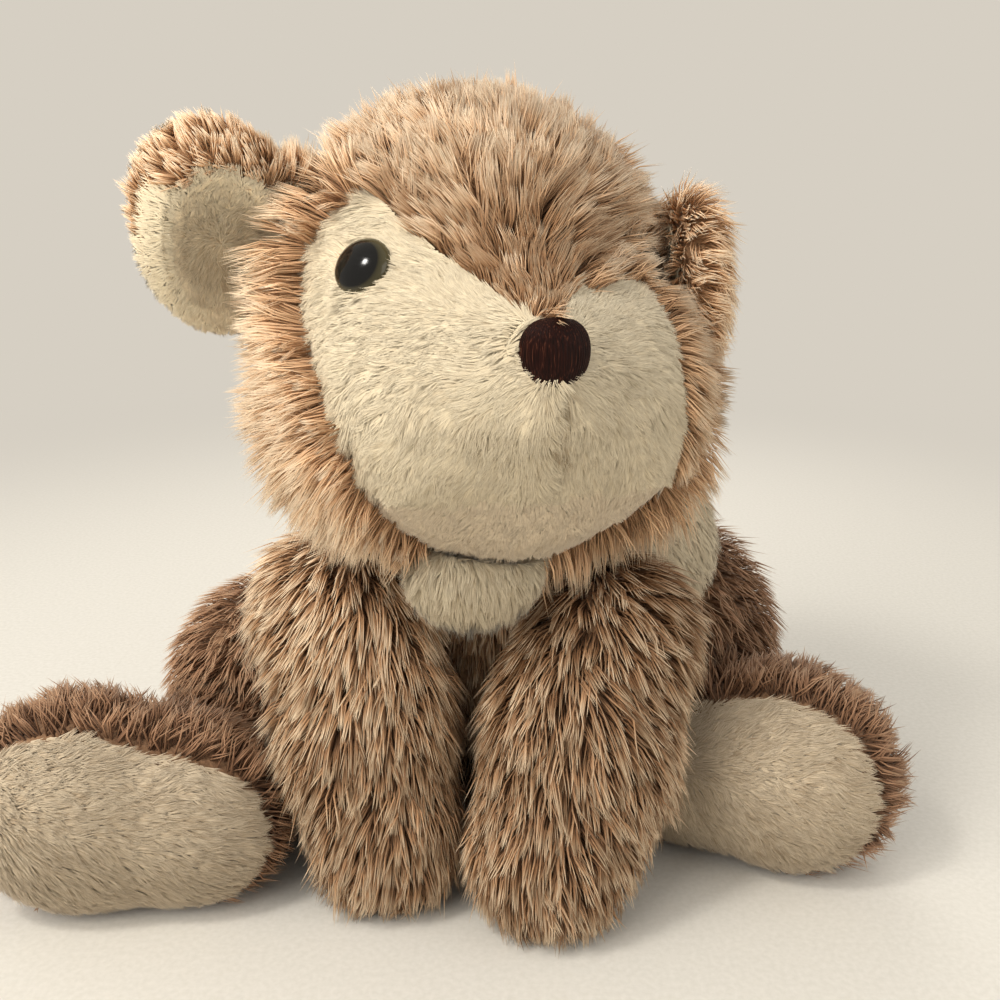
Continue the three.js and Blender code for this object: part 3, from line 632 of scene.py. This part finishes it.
def gusset():
    """The forehead's hair fans up from the nose. It is short there and darker, partly darker hair and partly painted
    shade. It laps the nose and leans to the left eye.
    """
    points, normals = skin("forehead_gusset", 9800, 12, HEAD_MIDDLE)
    at = head_place(points)
    x, _, z = at.T
    left = (rise(x, 1, 15) * (1 - rise(z, 34, 52)))[:, None]
    over = 1 - rise(np.linalg.norm(at - head_place(middle_of("nose")), axis=1, keepdims=True), 11, 16)
    clear, _ = by_left_eye(points)
    flow = head_flow(points) + head_ways(vec(1.3, 0, -0.5)) * left
    flow = flow * (1 - over) + head_ways(vec(0.3, -1, -0.2)) * 1.5 * over
    long = 8.5 + 8.5 * rise(z, 10, 46) + 3.0 * left[:, 0] + 7.0 * over[:, 0]
    lift = 0.56 + 0.12 * left + 0.3 * over + 0.8 * clear, 0.22 + 0.2 * left + 0.25 * over + clear
    tone = -0.44 + 0.42 * rise(z, 24, 62) + 0.08 * ripple(points, 20, 9) + 0.3 * over[:, 0]
    fur = pile("forehead_fur", points, normals, flow, long, 0.56, depth=3.2 - 3.0 * over, lift=lift, sag=0.2 * over,
               locks=((11.0, 0.35), (4.2, 0.65)), bend=1.3, stray=0.34, swirl=0.4, loose=0.1, curl=0.8, tone=tone,
               mottle=0.15, seed=31)
    dress(fur, FAWN_HAIR, "head", FIRM, "forehead_gusset")


def under_fringe(points):
    """True on the left cheek's outer and upper edge, above a line across the head. Long hair covers it."""
    x, _, z = head_place(points).T
    return z > np.interp(x, [12, 14, 20, 28, 36, 39, 41, 43], [60, 17, 18.5, 20, 18.5, 10, -20, -60])


def fringe():
    """Long hair over the left cheek's edge. It leans out above, hangs at the side and parts beyond the eye."""
    points, normals = skin("cheek_left", 9000, 14, HEAD_MIDDLE)
    points, normals = pick(under_fringe(points), points, normals)
    high = rise(head_place(points)[:, 2:], -2, 16)
    clear, outward = by_left_eye(points)
    flow = unit(head_ways(vec(0.9, 0.2, 0.12) * high + vec(0.55, 0.4, -0.8) * (1 - high)))
    flow = flow * (1 - clear) + outward * clear
    long = 12.0 + 3.0 * high - 6.0 * clear
    fur = pile("cheek_fringe", points, normals, flow, long, 0.56, depth=2.0, lift=(0.55, 0.3 + 0.2 * clear), sag=0.12,
               locks=((10.0, 0.3), (4.2, 0.62)), stray=0.32, swirl=0.4, loose=0.1, curl=0.8, tone=-0.05, seed=33)
    dress(fur, FAWN_HAIR, "head", FIRM)


def face_pile(name, node, count, long, lift, seed, outside, eye_node=None):
    """Short pile on one panel of the face, over a backing just under the node's surface. It runs away from the nose.

    The hairs are longer beside the long hair outside the panel, at the nose, which they lap over, and before the
    eye. They are short along the seam under the nose, over which the right cheek leans, and darkened beside the seam
    and at its crease as painted shade.
    """
    covered = under_fringe if node == "cheek_left" else None
    dress(backing(name + "_backing", [node], 1.7, 0.8, 3, covered), CREAM_BACK, "head", FIRM, node)
    points, normals = skin(node, count, seed, HEAD_MIDDLE)
    if covered is not None:
        points, normals = pick(~covered(points), points, normals)
    at = head_place(points)
    x, _, z = at.T
    from_seam = x - 0.8 * np.sin(z * 0.16)
    seam = np.exp(-(from_seam / 1.3) ** 2) * rise(-z, 1, 5) * rise(z, -27, -21)
    shade = np.exp(-((from_seam - 2.4) / 1.5) ** 2) * rise(-z, 1, 5) * rise(z, -30, -22)
    crease = np.exp(-(from_seam / 3.0) ** 2 - ((z + 21 + 0.4 * from_seam) / 1.3) ** 2)
    across = np.exp(-(from_seam / 2.4) ** 2) * rise(-z, -2, 3) * (node == "cheek_right")
    from_nose = at - head_place(middle_of("nose"))
    by_nose = 1 - rise(np.linalg.norm(from_nose, axis=1), 12.0, 15.0)
    by_nose = by_nose * (from_nose[:, 0] < -4) * rise(from_nose[:, 2], -4, 3)
    flow = unit(unit(at - vec(0, -80, 2)) + vec(0, 0, -0.6))
    flow = unit(flow * (1 - 1.6 * by_nose)[:, None] + across[:, None] * vec(1.6, 0, 0))
    reach = long * (1 + 0.12 * ripple(points, 12, seed)) * (1 - 0.35 * seam)
    reach += 3.0 * near(points, outside, 2.2) + 3.0 * rise(-z, 48, 57)
    reach += 0.8 * across + 3.0 * by_nose
    rise_to = lift + 0.4 * by_nose
    if eye_node is not None:
        to_eye = head_place(middle_of(eye_node)) - at
        before = 1 - rise(np.linalg.norm(to_eye, axis=1), 9.5, 13.0)
        before = before * rise(to_eye[:, 1], -1, 3) * rise(to_eye[:, 2], -4, 1)
        reach += 2.6 * before
        rise_to += 0.14 * before
    # Painted shade: the pile is darker beside the seam, where the right cheek's lean would shade it, and in a painted
    # crease shadow.
    tone = 0.03 + 0.04 * ripple(points, 26, seed + 4) - 0.26 * shade - 0.5 * crease
    nap = pile(name + "_pile", points, normals, head_ways(flow), reach, SHORT_WIDTH, depth=0.5,
               lift=(rise_to, rise_to * 0.45), sag=0.1, swirl=0.5, tone=tone, seed=seed, **SHORT)
    dress(nap, SOLE_HAIR if node == "chin_panel" else CREAM_HAIR, "head", FIRM)


def face():
    """The long hair, then the panels that it frames, the bib, the nose and the eyes."""
    outside = head_fur()
    for side, seed in (("left", 41), ("right", 43)):
        face_pile("cheek_" + side, "cheek_" + side, 38000, 5.2, 0.3, seed, outside, "eye_" + side)
    face_pile("chin", "chin_panel", 16000, 3.4, 0.22, 45, outside)
    bib()
    nose()
    for side in ("left", "right"):
        eye(side)


def bib():
    """Short pile that hangs down and out from the bib's middle, longer at its foot."""
    dress(backing("bib_backing", ["throat_bib"], 1.5, 2.2, 3), CREAM_BACK, "head", LOOSE, "throat_bib")
    points, normals = skin("throat_bib", 12500, 47)
    middle = points.mean(axis=0) + vec(0, 12, 12)
    low = rise(middle[2] - 12 - points[:, 2], 0, 10)
    nap = pile("bib_pile", points, normals, unit(points - middle) + vec(0, 0, -1.2), 6.0 + 3.0 * low, SHORT_WIDTH,
               depth=1.6, lift=(0.42, 0.2), sag=0.3, locks=((7.0, 0.3), (2.6, 0.5)), tone=-0.1, seed=48, **HANGING)
    dress(nap, CREAM_HAIR, "head", LOOSE)


def eye(side):
    """A glossy dome with a wide iris round its large pupil: a profile turned about the axis of its node.

    The profile is rows of radius and height along the axis, and a point closes it at each end.
    """
    corners, _ = solid("eye_" + side)
    centre = corners.mean(axis=0)
    values, ways = np.linalg.eigh(np.cov((corners - centre).T))
    out = ways[:, np.argmax(np.abs(values - np.median(values)))]
    out = out if out @ (centre - HEAD_MIDDLE) > 0 else -out
    up = unit(HEAD_TOP - out * (HEAD_TOP @ out))
    along = (corners - centre) @ out
    rim = np.linalg.norm(corners - centre - along[:, None] * out, axis=1).max()
    high = along.max()
    bulge = 4.7  # how far the dome stands over its widest ring
    edge = high - bulge
    foot = max(along.min(), edge - 1.2)
    steps = 72
    profile = [(0.01, foot), (rim * 0.93, foot), (rim * 0.99, edge - 0.7)]
    profile += [(rim * math.cos(b), edge + bulge * math.sin(b)) for b in np.linspace(0, math.pi / 2, 24)[:-1]]
    radius, height = np.array(profile + [(0.01, high)]).T[:, :, None]
    angle = np.linspace(0, 2 * math.pi, steps, endpoint=False)[None, :]
    rows = np.stack([radius * np.cos(angle), radius * np.sin(angle), height + 0 * angle], axis=-1).reshape(-1, 3)
    corners = centre + rows @ np.stack([np.cross(up, out), up, out])
    piece = closed("eye_dome_" + side, corners, steps, np.stack([centre + out * foot, centre + out * high]))
    plastic = eye_plastic("eye_plastic_" + side, rim, centre - up * rim * 0.08, out)
    dress(piece, (plastic, "eye_plastic"), "head", None, "eye_" + side)


def eye_plastic(name, rim, pupil, out):
    """Olive plastic round a black pupil, by the distance from an axis through it, in shares of the rim."""
    material, tree, shader = finish_of(name, {"Specular IOR Level": 0.35, "Coat Roughness": 0.03})
    place = add(tree, "TexCoord").outputs["Object"]
    apart = add(tree, "VectorMath", {0: place, 1: tuple(metres(pupil))}, operation="SUBTRACT").outputs[0]
    away = add(tree, "VectorMath", {0: apart, 1: tuple(out)}, operation="CROSS_PRODUCT")
    reach = add(tree, "VectorMath", {0: away.outputs[0]}, operation="LENGTH")
    share = add(tree, "Math", {0: reach.outputs["Value"], 1: MM / rim}, operation="MULTIPLY").outputs[0]
    fine = grain(tree, 1.0, stretch=(300.0, 300.0, 2600.0), place=apart)
    colour = ramp(tree, share, [(0.0, (9, 9, 10)), (0.76, (10, 10, 10)), (0.82, (46, 42, 26)), (1.0, (78, 72, 50))])
    paint(tree, shader, colour, fine, (0.07, 0.2), (0.3, 0.8))
    return material


def nose():
    """A pad of satin stitches whose threads run like meridians from the top to the lower tip.

    With angle a across and b down, place = (width w sin a, height cos b, depth w cos a), where the waist w is
    sin b to a power that grows from 0.75 to 1.15 below the middle, so the top is round and the foot pointed. Each
    thread is raised by a fine |cos|.
    """
    wide, tall, thick, behind = 9.3, 9.7, 6.0, 2.5
    sunk = 1.9
    threads = 30
    across, down = 280, 44
    a = np.linspace(-math.pi, math.pi, across, endpoint=False)[None, :]
    b = np.linspace(0.03, math.pi - 0.03, down)[:, None]
    waist = np.sin(b) ** (0.75 + 0.4 * rise(b, math.pi / 2, math.pi))
    front = np.cos(a)
    thread = np.abs(np.cos(a * threads + 0.5 * np.sin(b * 3 + a * 2))) ** 0.7 * 0.2 * waist * (front > -0.2)
    swell = 1 + thread / thick
    x = wide * waist * np.sin(a) * (1 + 0.10 * np.cos(b)) * swell
    z = tall * np.cos(b) * (1 + 0.08 * (np.cos(b) < 0)) + 0 * a
    y = np.where(front > 0, thick, behind) * front * waist * swell
    corners = middle_of("nose") + np.stack([x, sunk - y, z], axis=-1).reshape(-1, 3) @ HEAD_WAYS
    ends = np.stack([corners[:across].mean(axis=0), corners[-across:].mean(axis=0)])
    piece = closed("nose_pad", corners, across, ends, flip=True)
    material, tree, shader = finish_of("satin_thread", {"Specular IOR Level": 0.1})
    fine = grain(tree, 1.0, stretch=(2600.0, 2600.0, 120.0))
    # The paler threads are partly the thread's own colour and partly painted sheen.
    colour = ramp(tree, fine, [(0.3, (15, 5, 3)), (0.6, (36, 13, 8)), (0.82, (98, 58, 40))])
    paint(tree, shader, colour, fine, (0.42, 0.6))
    emboss(tree, shader, fine, 0.0003, 0.6)
    dress(piece, (material, "satin_thread"), "head", None, "nose")


# Ears

def ear(side, seed):
    """A fawn back whose long hair shows over the upper rim, and a cream hollow whose short hair rolls over the lower.

    A place on the ear is measured from its middle along three ways: look, the ear's thin way, toward its hollow;
    high, up along its face; and home, across that toward the head. The hollow rolls over the right ear alone.
    """
    rng = np.random.default_rng(seed)
    right = side == "right"
    shell, lining, body = "ear_shell_" + side, "ear_lining_" + side, "ear_" + side
    inner_corners, inner_faces = solid(lining)
    corners, faces = solid(shell)
    middle = corners.mean(axis=0)
    look = np.linalg.eigh(np.cov((corners - middle).T))[1][:, 0]
    look = look * np.sign(look @ (inner_corners.mean(axis=0) - middle))
    high = unit(HEAD_TOP - look * (HEAD_TOP @ look))
    home = np.cross(high, look)
    home = home * np.sign(home @ (HEAD_MIDDLE - middle))
    rolled = 15.0 if right else -99.0

    def cream(points):
        """1 where the cream hollow rolls over the rim: on the face and edge, below a line near the top."""
        away = points - middle
        return ((away @ look > np.where(away @ high < -2, -5.0, 1.0)) & (away @ high < rolled)).astype(float)

    dress(backing(body + "_backing", [shell], 1.8, 1.6, 4, cream), HEAD_BACK_CLOTH, body, SOFT, shell)
    dress(backing(body + "_lining_backing", [lining], 1.2, 0.7, 3), CREAM_BACK, body, THIN, lining)
    points, normals = roots(corners, faces, 20000 if right else 12500, rng)
    pale = cream(points) > 0.5
    p, n = points[~pale][::2], normals[~pale][::2]
    away = p - middle
    top = rise(away @ high, -6, 14)
    joint = rise(away @ home, 4, 18) * top * right
    flow = unit(away) * 0.7 - home * 0.5 + high * (0.3 * top[:, None] + 0.9 * joint[:, None]) - look * 0.25
    if not right:
        outer = rise(n[:, :1], 0.2, 0.8)
        flow = vec(0.7, -0.6, -0.2) * (1 - outer) + vec(0.1, 0.1, -1) * outer
    long = (4.5 if right else 13.0) + 3.5 * top * right + 6.0 * joint
    # The left ear's hair is a step lighter than the right's. This is painted light against the head's shadow on it.
    tone = (0.26 if right else 0.36) + 0.1 * joint + 0.06 * ripple(p, 20, seed)
    fur = pile(body + "_fur", p, n, flow, long, 0.6, depth=1.9, lift=(0.5, 0.25 + 0.2 * joint), sag=0.0,
               locks=((8.0, 0.3), (3.6, 0.6)), stray=0.3, swirl=0.3, soft=0.05, tone=tone, seed=seed)
    dress(fur, FAWN_HAIR, body, SOFT)
    more, slope = roots(inner_corners, inner_faces, 9000, rng, facing_way(inner_corners, inner_faces, look))
    p, n = np.concatenate([points[pale], more]), np.concatenate([normals[pale], slope])
    away = p - inner_corners.mean(axis=0)
    # Painted shade and light: the lining's pile is darker toward the middle of the hollow and lighter at the rim.
    hollow = 1 - rise(np.linalg.norm(away, axis=1), 9, 21)
    nap = pile(body + "_lining_pile", p, n, unit(away) + look * 0.1, 3.8, SHORT_WIDTH, depth=0.5, lift=(0.3, 0.12),
               sag=0.05, locks=((5.0, 0.2), (2.2, 0.3)), stray=0.35, loose=0.0, rings=1, soft=0.6,
               tone=0.42 - 0.54 * hollow, mottle=0.04, seed=seed + 1)
    dress(nap, CREAM_HAIR, body, THIN)


# Torso, neck and tail

def torso():
    """Long hair all round that hangs down, and cream pile on the belly panel's left flank, beside the arms."""
    rng = np.random.default_rng(61)
    back = backing("torso_backing", ["torso", "belly_panel"], 3.4, 4.4)
    dress(back, FAWN_BACK, "torso", FULL, "torso", "seat_flap")
    spots, _ = skin("belly_panel", 70000, 6)
    points, normals = skin("torso", 6600, rng, TORSO_MIDDLE, 0.1)
    points, normals = pick(~near(points, spots, 1.5) & (points[:, 2] > 3), points, normals)
    more, slope = skin("belly_panel", 17700, rng, TORSO_MIDDLE, -0.2)
    brown = more[:, 0] < BELLY_EDGE
    p, n = np.concatenate([points, more[brown][::5]]), np.concatenate([normals, slope[brown][::5]])
    flow = unit((p - TORSO_MIDDLE) * vec(1, 1, 0)) * 0.35 - HEAD_TOP
    fur = pile("torso_fur", p, n, flow, 16.5, 1.0, lift=(0.55, 0.14), sag=0.3, locks=HANGING_LOCKS, seed=62)
    dress(fur, ARM_HAIR, "torso", FULL)
    p, n = more[~brown], slope[~brown]
    flow = unit((p - TORSO_MIDDLE) * vec(1, 0.3, 0)) * 0.5 - HEAD_TOP
    nap = pile("belly_pile", p, n, flow, 7.0, 0.5, depth=0.8, lift=(0.4, 0.15), locks=((7.0, 0.25), (2.6, 0.5)),
               seed=63, **HANGING)
    dress(nap, CREAM_HAIR, "torso", FULL, "belly_panel")
    under = backing("belly_backing", ["belly_panel"], 2.0, 0.9, 3, lambda spots: spots[:, 0] < BELLY_EDGE)
    dress(under, CREAM_BACK, "torso", FULL)


def neck():
    """Hair on the collar's outer edge, which fills the gap when the head tips."""
    dress(backing("neck_backing", ["neck_collar"], 1.8, 0.8, 3), FAWN_BACK, "neck", SOFT, "neck_collar")
    corners, faces = solid("neck_collar")
    middle = corners.mean(axis=0)
    outer = np.linalg.norm((corners[faces].mean(axis=1) - middle)[:, :2], axis=1) > 26
    points, normals = roots(corners, faces, 1600, 65, outer.astype(float))
    flow = unit(points - middle) + vec(0, 0, -0.4)
    fur = pile("neck_fur", points, normals, flow, 14.0, 0.8, depth=1.5, lift=(0.7, 0.3), seed=66)
    dress(fur, FAWN_HAIR, "neck", SOFT)


def tail():
    """A tuft whose hair runs back and a little down."""
    dress(backing("tail_backing", ["tail"], 1.8, 4.0), FAWN_BACK, "tail", FULL, "tail")
    points, normals = skin("tail", 2500, 67)
    flow = vec(0, 1, -0.35) + 0 * points
    fur = pile("tail_fur", points, normals, flow, 13.0, 0.9, lift=(0.65, 0.35), locks=HANGING_LOCKS, seed=68)
    dress(fur, FAWN_HAIR, "tail", FULL)


# Limbs

def arm(side, seed):
    """Hair hangs in matted locks down the arm and turns outward on its outer side. The right arm's top is lighter, as
    painted light, and the left arm's top darker, as painted shade from the head.
    """
    node = "arm_" + side
    sign, longer, painted_top_light = (1.0, 0.0, -0.16) if side == "left" else (-1.0, 2.5, 0.5)
    dress(backing(node + "_backing", [node], 2.6, 4.6), FAWN_BACK, node, FULL, node)
    points, normals = skin(node, 12800, seed)
    points, normals = pick(points[:, 2] > ROOT_LOW, points, normals)
    outer = np.clip(normals[:, 0] * sign, 0, 1)
    top = rise(points[:, 2], 60, 110)
    out = (0.2 + 0.9 * outer) * (0.6 + 0.6 * top)
    flow = vec(0, -0.15, -1) + vec(sign, 0, 0) * out[:, None]
    long = 19.0 + 1.5 * ripple(points, 30, seed) + longer * outer
    lift = 0.55 + 0.15 * outer - 0.06 * top, 0.06 + 0.16 * outer
    # Painted light on the right arm's top, and painted shade on the left arm's top.
    tone = -0.06 + painted_top_light * top + 0.08 * ripple(points, 24, seed + 3)
    fur = pile(node + "_fur", points, normals, flow, long, 0.8, lift=lift, sag=0.3, locks=((10.0, 0.4), (3.6, 0.72)),
               bend=1.0, stray=0.26, swirl=0.35, loose=0.14, curl=1.2, fray=0.2, flat=0.6, taper=0.6, tone=tone,
               mottle=0.24, seed=seed)
    dress(fur, ARM_HAIR, node, FULL)


def leg(side, seed):
    """The haunch's hair runs out and forward to the foot. The foot's leans back from the sole's seam all round."""
    rng = np.random.default_rng(seed)
    body, haunch, foot, sole = (part + side for part in ("leg_", "haunch_", "foot_", "sole_"))
    for node in (haunch, foot):
        dress(backing(node + "_backing", [node], 2.8, 4.4), FAWN_BACK, body, FULL, node)
    points, normals = skin(haunch, 6400, rng)
    points, normals = pick(points[:, 2] > ROOT_LOW, points, normals)
    flow = unit(points - solid(haunch)[0].mean(axis=0)) * vec(1, 0.6, 0) + vec(0, -0.45, -0.5)
    # Painted light: the right haunch's upper hair is lighter, on the side that faces the lamp.
    painted_top_light = 0.34 if side == "right" else 0.0
    tone = 0.06 * ripple(points, 30, seed) + painted_top_light * rise(points[:, 2], 24, 50)
    fur = pile(haunch + "_fur", points, normals, flow, 16.0, 0.9, lift=(0.62, 0.26), locks=((9.0, 0.35), (3.6, 0.75)),
               stray=0.35, swirl=0.5, loose=0.12, curl=1.4, tone=tone, mottle=0.15, seed=seed)
    dress(fur, LEG_HAIR, body, FULL)
    sole_corners, sole_faces = solid(sole)
    spots, _ = roots(sole_corners, sole_faces, 40000, 7)
    middle = sole_corners.mean(axis=0)
    look = unit(middle - solid(foot)[0].mean(axis=0))
    points, normals = skin(foot, 11500, rng)
    points, normals = pick(~near(points, spots, 1.2) & (points[:, 2] > ROOT_LOW), points, normals)
    away = points - middle
    away = away - (away @ look)[:, None] * look
    long = 14.0 + 1.5 * ripple(points, 25, seed)
    fur = pile(foot + "_fur", points, normals, unit(away) * 0.9 - look * 0.55, long, 0.8, lift=(0.52, 0.2), sag=0.06,
               locks=((10.0, 0.4), (3.6, 0.7)), stray=0.6, swirl=0.9, loose=0.15, curl=2.2, fray=0.1,
               tone=0.07 * ripple(points, 22, seed + 5), mottle=0.16, seed=seed + 1)
    dress(fur, LEG_HAIR, body, FULL)
    dress(backing(sole + "_backing", [sole], 1.6, 1.1, 4), SOLE_BACK, body, SOFT, sole)
    points, normals = roots(sole_corners, sole_faces, 19000, rng, facing_way(sole_corners, sole_faces, look, 0.15))
    flow = vec(1, 0, -0.25) + unit(points - middle) * 0.5
    # The sole's pile is a little darker: painted shade.
    nap = pile(sole + "_pile", points, normals, flow, 5.2, SHORT_WIDTH, depth=0.7, lift=(0.3, 0.14), sag=0.08,
               swirl=0.4, tone=-0.12 + 0.04 * ripple(points, 22, seed), seed=seed + 2, **SHORT)
    dress(nap, SOLE_HAIR, body, SOFT)


# Kept frame pieces

def inner_pieces():
    """The cotton bag in the seat and the nylon washers behind the eyes keep their own solids."""
    cotton = knit("bag_cotton", (200, 192, 172), (228, 220, 202), size=1400.0, height=0.0003)
    nylon, tree, shader = finish_of("washer_nylon", {"Specular IOR Level": 0.4})
    fine = grain(tree, 700.0)
    paint(tree, shader, ramp(tree, fine, [(0.3, (222, 220, 212)), (0.7, (238, 236, 228))]), fine, (0.35, 0.5))
    for node, material in (("bean_bag", cotton), ("eye_washer_left", nylon), ("eye_washer_right", nylon)):
        slots = frame["nodes"][node].data.materials
        slots.clear()
        slots.append(material)


# Stage

SURROUND = sRGB(214, 207, 195)


def stage():
    """A pale floor that fades into a plain pale surround, a large soft lamp above on the left and three weak ones."""
    half, ground = 3000.0, -0.05
    corners = np.array([[x * half, y * half, ground] for x, y in ((-1, -1), (1, -1), (1, 1), (-1, 1))])
    floor = cloth("floor", corners, quads=np.array([[0, 1, 2, 3]]))
    material, tree, shader = finish_of("pale_floor", {"Specular IOR Level": 0.2, "Roughness": 0.9})
    place = add(tree, "TexCoord").outputs["Object"]
    colour = ramp(tree, grain(tree, 500.0, place=place), [(0.3, (214, 209, 198)), (0.7, (222, 217, 207))])
    tree.links.new(colour, shader.inputs["Base Color"])
    away = add(tree, "VectorMath", {0: place}, operation="LENGTH").outputs["Value"]
    far = add(tree, "MapRange", {0: away, 1: 0.32, 2: 0.95}, interpolation_type="SMOOTHSTEP")
    far = add(tree, "Math", {0: far.outputs[0], 1: seen_ray(tree)}, operation="MULTIPLY")
    plain = add(tree, "Emission", {"Color": SURROUND, "Strength": 1.0})
    mix = add(tree, "MixShader", {0: far.outputs[0], 1: shader.outputs[0], 2: plain.outputs[0]})
    tree.links.new(mix.outputs[0], tree.nodes["Material Output"].inputs["Surface"])
    floor.data.materials.append(material)
    world = bpy.data.worlds.new("studio")
    bpy.context.scene.world = world
    world.use_nodes = True
    tree = world.node_tree
    plain = tree.nodes["Background"]
    plain.inputs["Color"].default_value = (1.0, 0.985, 0.96, 1)
    plain.inputs["Strength"].default_value = 0.6
    seen = add(tree, "Background", {"Color": SURROUND, "Strength": 1.0})
    mix = add(tree, "MixShader", {0: seen_ray(tree), 1: plain.outputs[0], 2: seen.outputs[0]})
    tree.links.new(mix.outputs[0], tree.nodes["World Output"].inputs["Surface"])
    lamp("key_lamp", (-860, -800, 830), 980, 14.8, glossy=False)
    lamp("spark_lamp", (-400, -380, 820), 130, 2.6)
    lamp("side_lamp", (620, -380, 420), 480, 1.2)
    lamp("back_lamp", (100, 700, 560), 500, 1.8)


def seen_ray(tree):
    """1 for the rays that show the surround: camera, glossy and transmission rays."""
    camera, glossy, through = (add(tree, "LightPath").outputs[f"Is {kind} Ray"]
                               for kind in ("Camera", "Glossy", "Transmission"))
    either = add(tree, "Math", {0: camera, 1: glossy}, operation="MAXIMUM")
    return add(tree, "Math", {0: either.outputs[0], 1: through}, operation="MAXIMUM").outputs[0]


def lamp(name, place, size, watts, glossy=True):
    """A square area lamp that looks at the middle of the toy. One that isn't glossy leaves no highlight."""
    light = bpy.data.lights.new(name, "AREA")
    light.shape, light.size, light.energy = "SQUARE", size / MM, watts
    light.color = (1.0, 0.97, 0.92)
    obj = bpy.data.objects.new(name, light)
    place = metres(vec(*place))
    aim = metres(vec(0, 0, 110)) - place
    pitch = math.atan2(math.hypot(aim[0], aim[1]), -aim[2])
    obj.location, obj.rotation_euler = place, (pitch, 0.0, math.atan2(-aim[0], aim[1]))
    obj.visible_glossy = glossy
    bpy.context.collection.objects.link(obj)


def camera():
    """The photograph's view: 16 degrees down along +Y with a 39.6 mm lens on a 36 mm square."""
    data = bpy.data.cameras.new("camera")
    data.lens, data.sensor_width, data.clip_start = 39.6, 36.0, 0.01
    obj = bpy.data.objects.new("camera", data)
    obj.location = metres(vec(0, -360, 235))
    obj.rotation_euler = (math.radians(74), 0.0, 0.0)
    bpy.context.collection.objects.link(obj)
    bpy.context.scene.camera = obj


torso()
neck()
tail()
face()
ear("left", 71)
ear("right", 75)
arm("left", 81)
arm("right", 83)
leg("left", 85)
leg("right", 89)
inner_pieces()
stage()
camera()
bpy.context.scene.view_settings.view_transform = "Standard"
